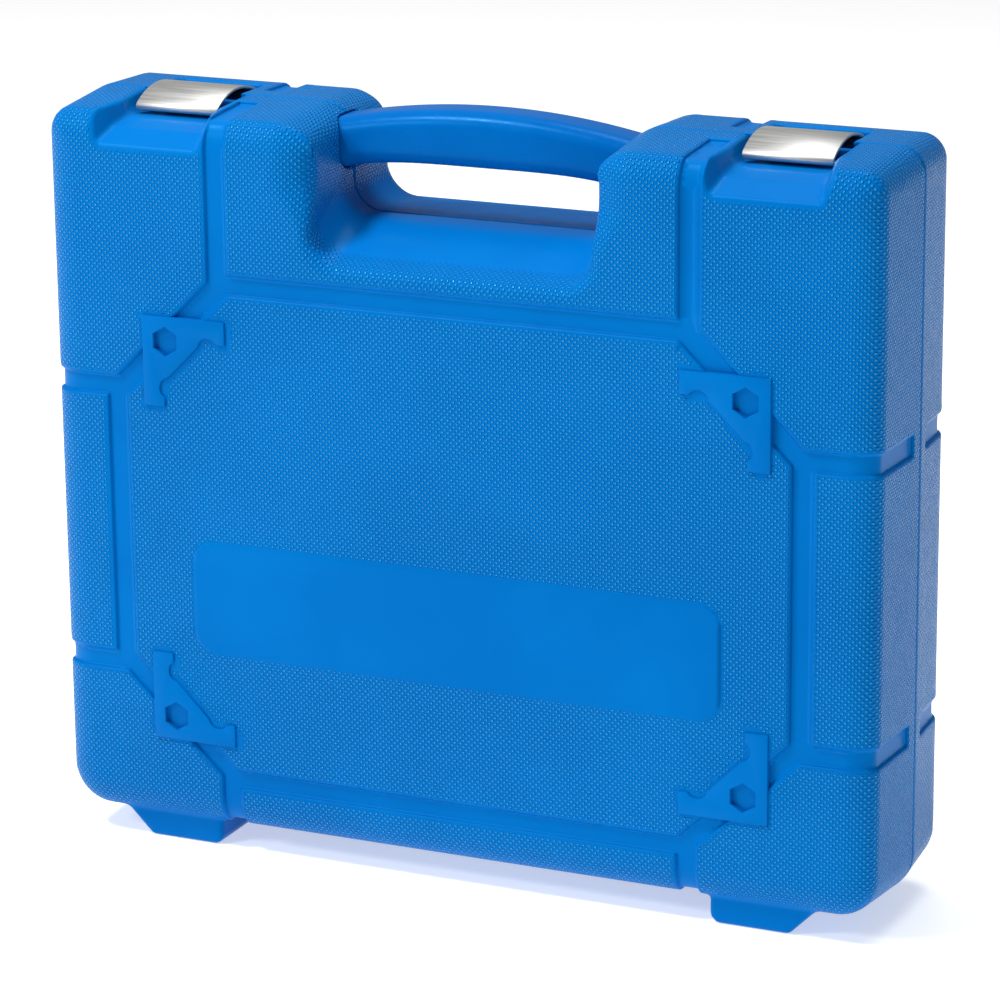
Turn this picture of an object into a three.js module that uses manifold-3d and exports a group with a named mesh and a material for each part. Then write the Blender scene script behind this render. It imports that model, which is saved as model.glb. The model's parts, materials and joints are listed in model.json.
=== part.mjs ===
// Socket wrench set in a blow-moulded carrying case: two hinged case halves, a carrying handle,
// two snap latches, a tool tray and the tools that lie in it.
// Millimetres, +Z up. The case stands on its feet with the lid towards -Y.
import * as THREE from "three";
import { mergeVertices } from "three/addons/utils/BufferGeometryUtils.js";
import Module from "manifold-3d";

const wasm = await Module();
wasm.setup();

// ---- Driving dimensions. While the parts are drawn, y = 0 is the parting plane of the two halves.
const HALF_WIDTH = 200.5; // outside, at the parting plane
const TOP = 345.2;
const BOTTOM = 10; // underside of the body; the feet reach down to z = 0
const LID = { side: -1, depth: 48, topFall: 0.07, floorDip: 16, edge: 9, rim: 6 };
const BASE = { side: 1, depth: 44, topFall: 0.01, floorDip: 0, edge: 13, rim: 24 };
const GUSSET_PROUD = 1; // corner gussets above the raised blocks
const EDGE_ACROSS = 15; // rounding from the sides into the large faces; its depth is LID.edge or BASE.edge
const DRAFT = Math.tan((3 * Math.PI) / 180);
const BOTTOM_RISE = 0.06;
const TOP_CORNER_R = 12;
const BOTTOM_CORNER_R = 19;
const GROOVE = 1.8; // depth of the grooves between the raised blocks
const WALL = 4.3;
const GAP = 0.3; // between touching pieces
const HINGE = { z: 5.5, knuckleR: 3.5, pinR: 1.5, boreR: 1.6, x0: 62, knuckle: 13.5, step: 14.25 };
const FOOT = { inner: 121, outer: 171, near: 10.5, far: 42, chamfer: 3, slope: 14, top: 20 };
const OPENING = { halfWidth: 67, floor: 297, cornerR: 14, flareR: 18, shoulderR: 15 };
const HANDLE = { front: -13, back: 14, end: 86, cornerR: 8, flare: 72, top: 347, bottom: 321.5 };
const LATCH = { x: 145.8, halfWidth: 20.6, pinY: 17, pinZ: 341.4, pinR: 1.5, knuckleR: 3.4, front: -17.5 };
const LEVER = { sheet: 1.4, back: 344.4, crownY: -1, crown: 355.5, lip: 341.6, rollR: 2.2 };
const TRAY = { halfWidth: 186, bottom: 20, top: 329, notchHalf: 98, notch: 283, deck: 20, sheet: 1.6 };
const FAR = 240; // beyond the case on every side
const ABOVE = 450; // beyond its top
const BELOW = -50; // beyond its feet
const TOOL_TOP = 2; // the nearest any tool comes to the parting plane
const HALF_SQUARE = 12.7; // half-inch drive
const QUARTER_SQUARE = 6.35; // quarter-inch drive
const BORE_CLEAR = 0.1;

// ---- Materials
const BLUE = { color: 0x0374c6, roughness: 0.45, metalness: 0 };
const HANDLE_BLUE = { color: 0x0a72c4, roughness: 0.35, metalness: 0 };
const BLACK = { color: 0x1b1c1e, roughness: 0.6, metalness: 0 };
const STEEL = { color: 0xd2d6d7, roughness: 0.3, metalness: 1 };
const CHROME = { color: 0xdde0e2, roughness: 0.14, metalness: 1 };
const DARK_STEEL = { color: 0x6f7376, roughness: 0.4, metalness: 1 };

// ---- Solids from three.js geometry
function solid(geometry) {
  const bare = geometry.index ? geometry.toNonIndexed() : geometry.clone();
  bare.deleteAttribute("normal");
  bare.deleteAttribute("uv");
  const merged = mergeVertices(bare, 1e-4);
  const mesh = { numProp: 3, vertProperties: merged.attributes.position.array };
  return new wasm.Manifold(new wasm.Mesh({ ...mesh, triVerts: new Uint32Array(merged.index.array) }));
}

const union = (solids) => solids.reduce((a, b) => a.add(b));

function box(x0, x1, y0, y1, z0, z1) {
  const shape = new THREE.BoxGeometry(x1 - x0, y1 - y0, z1 - z0);
  return solid(shape.translate((x0 + x1) / 2, (y0 + y1) / 2, (z0 + z1) / 2));
}

// A box given by its distances t0 and t1 behind the parting plane of one case half.
function halfBox(half, x0, x1, t0, t1, z0, z1) {
  return half.side > 0 ? box(x0, x1, t0, t1, z0, z1) : box(x0, x1, -t1, -t0, z0, z1);
}

const AXIS = {
  x: [new THREE.Vector3(0, 1, 0), new THREE.Vector3(0, 0, 1), new THREE.Vector3(1, 0, 0)],
  y: [new THREE.Vector3(1, 0, 0), new THREE.Vector3(0, 0, 1), new THREE.Vector3(0, -1, 0)],
  z: [new THREE.Vector3(1, 0, 0), new THREE.Vector3(0, 1, 0), new THREE.Vector3(0, 0, 1)],
};

// An outline extruded from a to b along an axis. Its two coordinates are (y, z), (x, z) or (x, y).
function prism(axis, outline, a, b) {
  const shape = new THREE.Shape(outline.map(([u, v]) => new THREE.Vector2(u, v)));
  const made = new THREE.ExtrudeGeometry(shape, { depth: b - a, bevelEnabled: false });
  made.translate(0, 0, axis === "y" ? -b : a);
  return solid(made.applyMatrix4(new THREE.Matrix4().makeBasis(...AXIS[axis])));
}

// A round bar along an axis from a to b, centred on the other two coordinates.
function rod(axis, radius, a, b, centre, sides = 20) {
  const made = new THREE.CylinderGeometry(radius, radius, b - a, sides);
  const middle = (a + b) / 2;
  if (axis === "x") made.rotateZ(Math.PI / 2).translate(middle, centre[0], centre[1]);
  if (axis === "y") made.translate(centre[0], middle, centre[1]);
  if (axis === "z") made.rotateX(Math.PI / 2).translate(centre[0], centre[1], middle);
  return solid(made);
}

// A turned solid: profile is [radius, station] along an axis, the stations counted from a centre.
function turned(axis, profile, centre, sides = 16) {
  const made = new THREE.LatheGeometry(profile.map(([r, s]) => new THREE.Vector2(r, s)), sides);
  if (axis === "x") made.rotateZ(-Math.PI / 2);
  if (axis === "z") made.rotateX(Math.PI / 2);
  return solid(made.translate(...centre));
}

// A closed skin over rings of points; each ring lies in a plane across the given axis.
function loft(rings, axis) {
  const count = rings[0].length;
  const faces = [];
  for (let r = 0; r + 1 < rings.length; r++)
    for (let i = 0; i < count; i++) {
      const [a, b] = [r * count + i, r * count + ((i + 1) % count)];
      faces.push([a, b, a + count], [b, b + count, a + count]);
    }
  const flat = rings[0].map((p) => new THREE.Vector2(...p.filter((_, k) => k !== axis)));
  const turn = Math.sign(THREE.ShapeUtils.area(flat));
  const last = (rings.length - 1) * count;
  for (const [a, b, c] of THREE.ShapeUtils.triangulateShape(flat, [])) {
    const same = Math.sign(THREE.ShapeUtils.area([flat[a], flat[b], flat[c]])) === turn;
    const [p, q] = same ? [b, c] : [c, b];
    faces.push([a, q, p], [last + a, last + p, last + q]);
  }
  const points = rings.flat().map((p) => new THREE.Vector3(...p));
  const volume = faces.reduce((sum, [a, b, c]) => {
    return sum + points[a].dot(new THREE.Vector3().crossVectors(points[b], points[c]));
  }, 0);
  const ordered = volume > 0 ? faces : faces.map(([a, b, c]) => [a, c, b]);
  const made = new THREE.BufferGeometry().setFromPoints(points);
  return solid(made.setIndex(ordered.flat()));
}

// Points of an arc about (u, v), from one angle to another in degrees.
function arc(u, v, radius, from, to, steps = 4) {
  return Array.from({ length: steps + 1 }, (_, i) => {
    const angle = ((from + ((to - from) * i) / steps) * Math.PI) / 180;
    return [u + radius * Math.cos(angle), v + radius * Math.sin(angle)];
  });
}

const mirrored = (outline) => outline.map(([u, v]) => [-u, v]).reverse();

const meshes = [];
function part(name, body, finish) {
  const raw = body.getMesh();
  const made = new THREE.BufferGeometry();
  made.setAttribute("position", new THREE.BufferAttribute(raw.vertProperties, raw.numProp));
  made.setIndex(new THREE.BufferAttribute(raw.triVerts, 1));
  made.computeVertexNormals();
  const mesh = new THREE.Mesh(made, new THREE.MeshStandardMaterial(finish));
  mesh.name = name;
  meshes.push(mesh);
}

// ---- Case halves
function caseOutline(halfWidth, bottom, top, bottomR, topR) {
  const right = [
    ...arc(halfWidth - bottomR, bottom + bottomR, bottomR, -90, 0),
    ...arc(halfWidth - topR, top - topR, topR, 0, 90),
  ];
  return [...right, ...mirrored(right)];
}

// The outside of one half, or the same skin offset inwards.
function caseBody(half, skin) {
  const steps = [0, 22.5, 45, 67.5, 90].map((angle) => (angle * Math.PI) / 180);
  const stations = [[GAP / 2, 0]];
  for (const a of steps)
    stations.push([
      half.depth - half.edge + (half.edge - skin) * Math.sin(a),
      (EDGE_ACROSS - skin) * (1 - Math.cos(a)),
    ]);
  return loft(stations.map(([t, inset]) => caseOutline(
    HALF_WIDTH - t * DRAFT - skin - inset,
    BOTTOM + t * BOTTOM_RISE + skin + inset,
    TOP - t * half.topFall - skin - inset,
    Math.max(BOTTOM_CORNER_R - skin - inset, 3),
    Math.max(TOP_CORNER_R - skin - inset, 3),
  ).map(([x, z]) => [x, half.side * t, z])), 1);
}

// The hand opening under the handle: its walls flare into the large face of the half, and its
// floor rounds off there, or sweeps down in a long curve on the lid.
function handOpening(half, grow) {
  const start = half.depth - OPENING.flareR;
  const stations = [-1, 8, 18, start, start + 7, start + 12, start + 16, half.depth, half.depth + 5];
  return loft(stations.map((t) => {
    const into = THREE.MathUtils.clamp((t - start) / OPENING.flareR, 0, 1);
    const flare = OPENING.flareR * (1 - Math.sqrt(1 - into * into));
    const sweep = half.floorDip * THREE.MathUtils.smoothstep(t, 8, half.depth + 2);
    const w = OPENING.halfWidth + flare + grow;
    const floor = OPENING.floor - (half.floorDip ? sweep : flare * 0.7) - grow;
    const r = OPENING.cornerR;
    const shoulder = w + OPENING.shoulderR;
    const right = [
      ...arc(w - r, floor + r, r, -90, 0),
      ...arc(shoulder, TOP - OPENING.shoulderR, OPENING.shoulderR, 180, 90),
      [shoulder, TOP + 40],
    ];
    return [...right, ...mirrored(right)].map(([x, z]) => [x, half.side * t, z]);
  }), 1);
}

// The raised blocks of a large face, as (x, z) outlines: the middle ones, and those of the side x > 0.
const BLOCKS = [
  [[-108, 40.1], [108, 40.1], [160, 90], [160, 214], [108, 263.8], [-108, 263.8], [-160, 214], [-160, 90]],
  [[-108, 272.8], [108, 272.8], [108, ABOVE], [-108, ABOVE]],
  [[-107.5, BELOW], [107.5, BELOW], [107.5, 32.1], [-107.5, 32.1]],
];
const SIDE_BLOCKS = [
  [[117.4, 269], [164.4, 221.7], [FAR, 221.7], [FAR, ABOVE], [117.4, ABOVE]],
  [[169.6, 90.7], [FAR, 90.7], [FAR, 212.6], [169.6, 212.6]],
  [[116.3, BELOW], [FAR, BELOW], [FAR, 82], [164.2, 82], [116.3, 36.9]],
];
const COLLAR = { depth: 8, handleDepth: 12, handleHalf: 130, handleFrom: 300 }; // no groove crosses it

function grooves(half) {
  const outlines = [...BLOCKS, ...SIDE_BLOCKS, ...SIDE_BLOCKS.map(mirrored)];
  const reach = half.depth + 10;
  const [near, far] = half.side > 0 ? [0, reach] : [-reach, 0];
  const raised = union(outlines.map((outline) => prism("y", outline, near - 1, far + 1)));
  const collar = union([
    halfBox(half, -FAR, FAR, -1, COLLAR.depth, BELOW, ABOVE),
    halfBox(half, -COLLAR.handleHalf, COLLAR.handleHalf, -1, COLLAR.handleDepth, COLLAR.handleFrom, ABOVE),
  ]);
  const around = box(-FAR, FAR, near, far, BELOW + 1, ABOVE - 1);
  return around.subtract(raised).subtract(collar).subtract(caseBody(half, GROOVE));
}

// A corner gusset: a triangular plate with a rounded notch beside the head of each arm, and a hexagonal
// recess. Its two arms mirror each other, and the plates mirror each other about the middle of the panel.
const GUSSET = { corner: [150.5, 251.5], long: 41.5, head: 10.5, notch: [33, 13], notchR: 5 };
const HEXAGON = { from: 11.4, r: 6.7, recess: 2.6 };
const PANEL_MIDDLE = 151.6;
function gusset(flipX, flipZ) {
  const [cornerX, cornerZ] = GUSSET.corner;
  const [along, across] = GUSSET.notch;
  const notch = arc(along, across, GUSSET.notchR, -30, -170);
  const arm = [[GUSSET.long, 0], [GUSSET.long, GUSSET.head], ...notch];
  const outline = [[0, 0], ...arm, ...arm.map(([u, v]) => [v, u]).reverse()];
  const hexagon = arc(HEXAGON.from, HEXAGON.from, HEXAGON.r, 30, 330, 5);
  const place = ([u, v]) => [flipX * (cornerX - u), PANEL_MIDDLE + flipZ * (cornerZ - v - PANEL_MIDDLE)];
  const placed = (points) => (flipX * flipZ > 0 ? points.map(place) : points.map(place).reverse());
  const front = -LID.depth - GUSSET_PROUD;
  return prism("y", placed(outline), front, -LID.depth + 4)
    .subtract(prism("y", placed(hexagon), front - 1, front + HEXAGON.recess));
}

function feet(half) {
  const { inner, outer, chamfer, slope, top } = FOOT;
  const outline = [
    [inner, chamfer], [inner + chamfer, 0], [outer - slope, 0], [outer, slope], [outer, top], [inner, top],
  ];
  const [a, b] = half.side > 0 ? [FOOT.near, FOOT.far] : [-FOOT.far, -FOOT.near];
  return prism("y", outline, a, b).add(prism("y", mirrored(outline), a, b));
}

// Hinge knuckles: the base has the two outer ones of each hinge, the lid the one between them.
function knuckles(half) {
  const places = half.side > 0 ? [0, 2] : [1];
  const right = union(places.map((i) => {
    const x = HINGE.x0 + i * HINGE.step;
    const barrel = rod("x", HINGE.knuckleR, x, x + HINGE.knuckle, [0, HINGE.z]);
    const neck = halfBox(half, x, x + HINGE.knuckle, GAP / 2, HINGE.knuckleR, HINGE.z, BOTTOM + 2);
    const bore = rod("x", HINGE.boreR, x - 1, x + HINGE.knuckle + 1, [0, HINGE.z], 24);
    return barrel.add(neck).subtract(bore);
  }));
  return right.add(right.mirror([1, 0, 0]));
}

function bothSides(make) {
  return make(1).add(make(-1));
}

function trayOutline(grow) {
  const w = TRAY.halfWidth + grow;
  const n = TRAY.notchHalf - grow;
  const right = [[w, TRAY.bottom - grow], [w, TRAY.top + grow], [n, TRAY.top + grow], [n, TRAY.notch + grow]];
  return [...right, ...mirrored(right)];
}

function trayPrism(half, grow, t0, t1) {
  return half.side > 0 ? prism("y", trayOutline(grow), t0, t1) : prism("y", trayOutline(grow), -t1, -t0);
}

// A box between x0 and x1 on the side s, which is 1 or -1.
function sideBox(half, s, x0, x1, t0, t1, z0, z1) {
  return halfBox(half, Math.min(x0 * s, x1 * s), Math.max(x0 * s, x1 * s), t0, t1, z0, z1);
}

const RIM_SHEET = 2; // of a half's rim that stays behind the tray or the liner
const RIM_LIP = 4; // by which that rim reaches under its edge
const LUG = { inner: 60, outer: 94, bottom: 304, wall: 6 }; // solid material round each end of the handle
const SEAT = { inner: 50, bottom: 311, top: 342.5 }; // the space in it that the handle fills

// What both halves share: skin, grooves, hollow, rim, hand opening, handle seats, feet and knuckles.
function caseHalf(half, latchRecess, latchMargin) {
  const reach = half.side < 0 ? -HANDLE.front : HANDLE.back;
  const lugs = bothSides((s) => {
    return sideBox(half, s, LUG.inner, LUG.outer, -5, reach + LUG.wall, LUG.bottom, ABOVE);
  });
  const seats = bothSides((s) => {
    return sideBox(half, s, SEAT.inner, HANDLE.end + 1, -1, reach + 2 * GAP, SEAT.bottom, SEAT.top);
  });
  const hollow = caseBody(half, WALL)
    .subtract(halfBox(half, -FAR, FAR, -5, half.rim, BELOW, ABOVE))
    .subtract(handOpening(half, WALL))
    .subtract(latchMargin)
    .subtract(lugs);
  return caseBody(half, 0)
    .add(feet(half))
    .subtract(grooves(half))
    .subtract(hollow)
    .subtract(handOpening(half, 0))
    .subtract(seats)
    .subtract(latchRecess)
    .subtract(trayPrism(half, GAP, -1, half.rim - RIM_SHEET + GAP))
    .subtract(trayPrism(half, -RIM_LIP, RIM_SHEET, half.rim + 1))
    .add(knuckles(half));
}

function latchCut(half, stations, grow) {
  const right = loft(stations.map(([t, inner, outer, floor]) => [
    [inner - grow, half.side * t, floor - grow], [outer + grow, half.side * t, floor - grow],
    [outer + grow + 2, half.side * t, TOP + 30], [inner - grow - 2, half.side * t, TOP + 30],
  ]), 1);
  return right.add(right.mirror([1, 0, 0]));
}

// Each latch lies in a notch of the lid and turns in a well of the base. A station is the distance
// from the parting plane, the inner and outer |x| there, and the height of the floor.
const WELL = [124, 167.5, 336.5];
const LID_NOTCH = [
  [-1, ...WELL], [25, 124, 167.5, 336.2], [36, 123, 169, 333.5], [49, 121, 172, 327], [56, 119, 175, 322],
];
const BASE_WELL = [[-1, ...WELL], [25, ...WELL]];
const BASE_MARGIN = [[-1, ...WELL], [29, ...WELL]];
const WELL_WALL = 6;
const PLATE_PROUD = 0.6;

const catchRib = bothSides((s) => sideBox(LID, s, 131, 158, 5, 10, 335, 338.1));
const plate = prism("y", caseOutline(128, 96, 148, 10, 10), -LID.depth - PLATE_PROUD, -LID.depth + 3);
const gussets = union([gusset(1, 1), gusset(-1, 1), gusset(1, -1), gusset(-1, -1)]);
const lid = caseHalf(LID, latchCut(LID, LID_NOTCH, 0), latchCut(LID, LID_NOTCH, WALL));
part("lid_shell", lid.add(catchRib).add(plate).add(gussets), BLUE);

const pinHole = rod("x", LATCH.pinR + BORE_CLEAR, LATCH.x - 27, LATCH.x + 27, [LATCH.pinY, LATCH.pinZ], 24);
const base = caseHalf(BASE, latchCut(BASE, BASE_WELL, 0), latchCut(BASE, BASE_MARGIN, WELL_WALL));
part("base_shell", base.subtract(pinHole).subtract(pinHole.mirror([1, 0, 0])), BLUE);

// ---- Hinge pins, handle and latches
function onBothSides(name, make, finish) {
  part(name.replace("SIDE", "left"), make(-1), finish);
  part(name.replace("SIDE", "right"), make(1), finish);
}

onBothSides("hinge_pin_SIDE", (s) => {
  const pin = rod("x", HINGE.pinR, HINGE.x0 - 1, HINGE.x0 + 2 * HINGE.step + HINGE.knuckle + 1, [0, HINGE.z]);
  return s > 0 ? pin : pin.mirror([1, 0, 0]);
}, DARK_STEEL);

function handleRing(x) {
  const share = Math.min(Math.abs(x) / HANDLE.flare, 1);
  const top = HANDLE.top - 7.6 * share * share;
  const bottom = HANDLE.bottom - 5.5 * share ** 4;
  const r = HANDLE.cornerR;
  const [front, back] = [HANDLE.front + r, HANDLE.back - r];
  const corners = [[back, top - r, 0], [front, top - r, 90], [front, bottom + r, 180], [back, bottom + r, 270]];
  return corners.flatMap(([y, z, angle]) => arc(y, z, r, angle, angle + 90, 3)).map(([y, z]) => [x, y, z]);
}
const handleHalf = [15, 30, 45, 58, 66, HANDLE.flare, HANDLE.end];
const handleStations = [...handleHalf.map((x) => -x).reverse(), 0, ...handleHalf];
part("carry_handle", loft(handleStations.map(handleRing), 0), HANDLE_BLUE);

// The lever is an arched plate with a rolled front edge, turning on a pin in the base.
function latchLever(s) {
  const curve = new THREE.QuadraticBezierCurve(
    new THREE.Vector2(LATCH.pinY + 1.8, LEVER.back),
    new THREE.Vector2(LEVER.crownY, LEVER.crown),
    new THREE.Vector2(LATCH.front, LEVER.lip),
  );
  const outer = curve.getPoints(10);
  const inner = outer.map((p, i) => {
    const along = curve.getTangent(i / 10);
    return new THREE.Vector2(p.x - along.y * LEVER.sheet, p.y + along.x * LEVER.sheet);
  });
  const outline = [...outer, ...inner.reverse()].map((p) => [p.x, p.y]);
  const [a, b] = [s * LATCH.x - LATCH.halfWidth, s * LATCH.x + LATCH.halfWidth];
  return prism("x", outline, a, b)
    .add(rod("x", LEVER.rollR, a, b, [LATCH.front - 0.3, LEVER.lip - 1], 14))
    .add(rod("x", LATCH.knuckleR, a, b, [LATCH.pinY, LATCH.pinZ]))
    .subtract(rod("x", LATCH.pinR + BORE_CLEAR, a - 1, b + 1, [LATCH.pinY, LATCH.pinZ], 24));
}
onBothSides("latch_SIDE_lever", latchLever, STEEL);
onBothSides("latch_SIDE_claw", (s) => {
  const outline = [
    [6, 342.7], [6, 344.3], [-10, 344.3], [-10, 338.5], [-5, 338.5], [-5, 340], [-8.4, 340], [-8.4, 342.7],
  ];
  return prism("x", outline, s * LATCH.x - 12, s * LATCH.x + 12);
}, STEEL);
onBothSides("latch_SIDE_pin", (s) => {
  return rod("x", LATCH.pinR, s * LATCH.x - 25, s * LATCH.x + 25, [LATCH.pinY, LATCH.pinZ]);
}, DARK_STEEL);

// ---- Tools. Each leaves a pocket in the tray: x0, x1, z0, z1 and the depth it needs.
const pockets = [];
const POCKET_CLEAR = 0.7;
function pocket(x0, x1, z0, z1, depth) {
  const c = POCKET_CLEAR;
  pockets.push([x0 - c, x1 + c, z0 - c, z1 + c, depth + c]);
}
const axisDepth = (radius) => Math.max(radius + TOOL_TOP, TRAY.deck - 5);

// A ratchet lies along X with its square drive pointing into the case; k scales it from half inch.
const LEVER_ANGLE = 18; // at which its reversing lever rests
function ratchet(name, headX, z, length, headR, square, gripR) {
  const k = headR / 19;
  const [front, back] = [2 + 4 * k, 2 + 20 * k];
  const y = (front + back) / 2;
  const gripStart = headX + length * 0.5;
  const end = headX + length - headR;
  const shankR = square * 0.71;
  const body = rod("y", headR, front, back, [headX, z], 24)
    .add(rod("x", 7 * k, headX + headR * 0.5, gripStart + length * 0.3, [y, z], 16))
    .subtract(rod("y", 4.4 * k, front - 1, front + 5.5 * k, [headX, z], 16))
    .subtract(rod("y", shankR + GAP, back - 4 * k, back + 1, [headX, z], 16));
  part(name + "_body", body, CHROME);
  const gripLength = end - gripStart;
  const profile = [
    [0, 0], [gripR * 0.8, 0], [gripR, 5], [gripR * 0.86, 20], [gripR, length * 0.25],
    [gripR * 0.9, gripLength], [0, gripLength],
  ];
  part(name + "_grip", turned("x", profile, [gripStart, y, z])
    .subtract(rod("x", 7 * k + GAP, gripStart - 1, gripStart + length * 0.3 + 1, [y, z], 16)), BLACK);
  const tab = [[0, -2.4 * k], [14 * k, -1.8 * k], [14 * k, 1.8 * k], [0, 2.4 * k]];
  const lever = rod("y", 8 * k, front - 2 * k, front - GAP, [0, 0])
    .add(prism("y", tab, front - 2 * k, front - GAP))
    .rotate([0, LEVER_ANGLE, 0])
    .translate([headX, 0, z])
    .subtract(rod("y", 4.4 * k, front - 9, front + 1, [headX, z], 16));
  part(name + "_lever", lever, DARK_STEEL);
  part(name + "_button", rod("y", 3.9 * k, front - 3 * k, front + 3 * k, [headX, z], 16), STEEL);
  const half = square / 2;
  const tip = back + square * 1.05;
  part(name + "_drive", rod("y", shankR, back - 4 * k + GAP, back + GAP, [headX, z], 16)
    .add(box(headX - half, headX + half, back, tip, z - half, z + half)), CHROME);
  pocket(headX - headR, headX + headR, z - headR, z + headR, tip);
  pocket(headX, end, z - gripR, z + gripR, y + gripR);
}
ratchet("half_inch_ratchet", -148, 250, 265, 19, HALF_SQUARE, 12);
ratchet("quarter_inch_ratchet", -156, 127, 165, 12, QUARTER_SQUARE, 8.5);

// An extension bar along an axis: female end, shaft, male square.
function extension(name, axis, start, across, length, endR, shaftR, square) {
  const y = axisDepth(endR);
  const centre = axis === "x" ? [y, across] : [across, y];
  const half = square / 2;
  const tip = start + length;
  const neck = tip - square * 1.2;
  const squareBar = (a, b) => (axis === "x" ? box(a, b, y - half, y + half, across - half, across + half)
    : box(across - half, across + half, y - half, y + half, a, b));
  const bar = rod(axis, endR, start, start + endR * 2.2, centre)
    .add(rod(axis, shaftR, start + 1, neck - endR * 0.8, centre, 16))
    .add(rod(axis, endR * 0.85, neck - endR * 1.4, neck, centre))
    .add(squareBar(neck - 1, tip))
    .subtract(squareBar(start - 1, start + square * 1.2));
  part(name, bar, CHROME);
  if (axis === "x") pocket(start, tip, across - endR, across + endR, y + endR);
  else pocket(across - endR, across + endR, start, tip, y + endR);
}
extension("half_inch_extension_long", "x", -168, 212, 250, 11, 7.5, HALF_SQUARE);
extension("half_inch_extension_short", "z", 152, 150, 122, 11, 7.5, HALF_SQUARE);
extension("quarter_inch_extension", "x", 22, 127, 100, 6.2, 3.6, QUARTER_SQUARE);

// Sockets stand in the tray with the hexagon mouth towards the lid.
const SOCKET_SIDES = 14;
function socket(name, size, square, driveR, mouthR, y0, length, x, z) {
  const waist = [[mouthR, length * 0.45], [driveR, length * 0.58]];
  const profile = [[0, 0], [mouthR, 0], ...waist, [driveR, length], [0, length]];
  const hexagon = arc(x, z, size / Math.sqrt(3), 0, 300, 5);
  const half = square / 2;
  const wall = Math.min(half, size / 2) * 0.8;
  const y1 = y0 + length;
  part(name, turned("y", profile, [x, y0, z], SOCKET_SIDES)
    .subtract(prism("y", hexagon, y0 - 1, y0 + length * 0.45))
    .subtract(rod("y", wall, y0 + 1, y1 - 1, [x, z], 12))
    .subtract(box(x - half, x + half, y1 - length * 0.4, y1 + 1, z - half, z + half)), CHROME);
  const r = Math.max(driveR, mouthR);
  pocket(x - r, x + r, z - r, z + r, y1 - 0.3);
}
function socketRow(prefix, sizes, square, driveR, y0, length, startX, z) {
  let x = startX;
  for (const size of sizes) {
    const mouthR = Math.max(size * 0.5774 + 3.2, driveR * 0.72);
    const r = Math.max(mouthR, driveR);
    socket(prefix + size, size, square, driveR, mouthR, y0, length, x + r, z);
    x += 2 * r + 4.4;
  }
}
const ROW_START = -172;
socketRow("half_inch_socket_", [10, 12, 13, 14, 15, 17, 19, 22, 24], HALF_SQUARE, 11, 1.3, 36, ROW_START, 170);
socketRow("quarter_inch_socket_", [6, 7, 8, 9, 10, 11, 12, 13], QUARTER_SQUARE, 6, 8, 25, ROW_START, 88);

// Spark plug socket lying along X, with a rubber ring in its mouth.
const PLUG = { x: 112, z: 304, length: 64, r: 13, bore: 10.2, ring: 6.5 };
const plugY = axisDepth(PLUG.r);
const plugHalf = HALF_SQUARE / 2;
part("spark_plug_socket", rod("x", PLUG.r, PLUG.x, PLUG.x + PLUG.length, [plugY, PLUG.z])
  .subtract(rod("x", PLUG.bore, PLUG.x + 20, PLUG.x + PLUG.length + 1, [plugY, PLUG.z]))
  .subtract(box(PLUG.x - 1, PLUG.x + 16, plugY - plugHalf, plugY + plugHalf,
    PLUG.z - plugHalf, PLUG.z + plugHalf))
  .subtract(rod("x", 4, PLUG.x + 10, PLUG.x + 30, [plugY, PLUG.z], 12)), CHROME);
part("spark_plug_grip_ring", rod("x", PLUG.bore - GAP, PLUG.x + 24, PLUG.x + 44, [plugY, PLUG.z])
  .subtract(rod("x", PLUG.ring, PLUG.x + 23, PLUG.x + 45, [plugY, PLUG.z], 16)), BLACK);
pocket(PLUG.x, PLUG.x + PLUG.length, PLUG.z - PLUG.r, PLUG.z + PLUG.r, plugY + PLUG.r);

// Spinner handle: a moulded grip on a quarter inch shank.
const SPINNER = { x: 8, z: 92, grip: 88, length: 148, r: 13, shankR: 3.6, shankFrom: 50 };
const spinnerY = axisDepth(SPINNER.r);
const spinnerTip = SPINNER.x + SPINNER.length;
const spinnerHalf = QUARTER_SQUARE / 2;
const spinnerStart = SPINNER.x + SPINNER.shankFrom;
part("spinner_shank", rod("x", SPINNER.shankR, spinnerStart, spinnerTip - 10, [spinnerY, SPINNER.z], 16)
  .add(box(spinnerTip - 11, spinnerTip, spinnerY - spinnerHalf, spinnerY + spinnerHalf,
    SPINNER.z - spinnerHalf, SPINNER.z + spinnerHalf)), CHROME);
const spinnerProfile = [
  [0, 0], [9, 0], [SPINNER.r, 6], [SPINNER.r, 55], [9, 72], [10.5, 80], [9, SPINNER.grip], [0, SPINNER.grip],
];
part("spinner_grip", turned("x", spinnerProfile, [SPINNER.x, spinnerY, SPINNER.z])
  .subtract(rod("x", SPINNER.shankR + GAP, spinnerStart - 1, SPINNER.x + SPINNER.grip + 1,
    [spinnerY, SPINNER.z], 16)), BLACK);
pocket(SPINNER.x, spinnerTip, SPINNER.z - SPINNER.r, SPINNER.z + SPINNER.r, spinnerY + SPINNER.r);

// Sliding T-bar: the head moves along the rod between two end stops.
const TBAR = { z: 48, half: 125, r: 6.3, headX: -92, travel: 45, headR: 11, room: 13 };
const tbarY = axisDepth(TBAR.headR);
const tbarHalf = HALF_SQUARE / 2;
part("t_bar_rod", rod("x", TBAR.r, -TBAR.half, TBAR.half, [tbarY, TBAR.z]), CHROME);
part("t_bar_head", rod("y", TBAR.headR, tbarY - 10, tbarY + 10, [TBAR.headX, TBAR.z])
  .add(box(TBAR.headX - tbarHalf, TBAR.headX + tbarHalf, tbarY + 9, tbarY + 22,
    TBAR.z - tbarHalf, TBAR.z + tbarHalf))
  .subtract(rod("x", TBAR.r + GAP, TBAR.headX - 20, TBAR.headX + 20, [tbarY, TBAR.z], 24)), CHROME);
pocket(-TBAR.half, TBAR.half, TBAR.z - TBAR.r, TBAR.z + TBAR.r, tbarY + TBAR.r);
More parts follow.
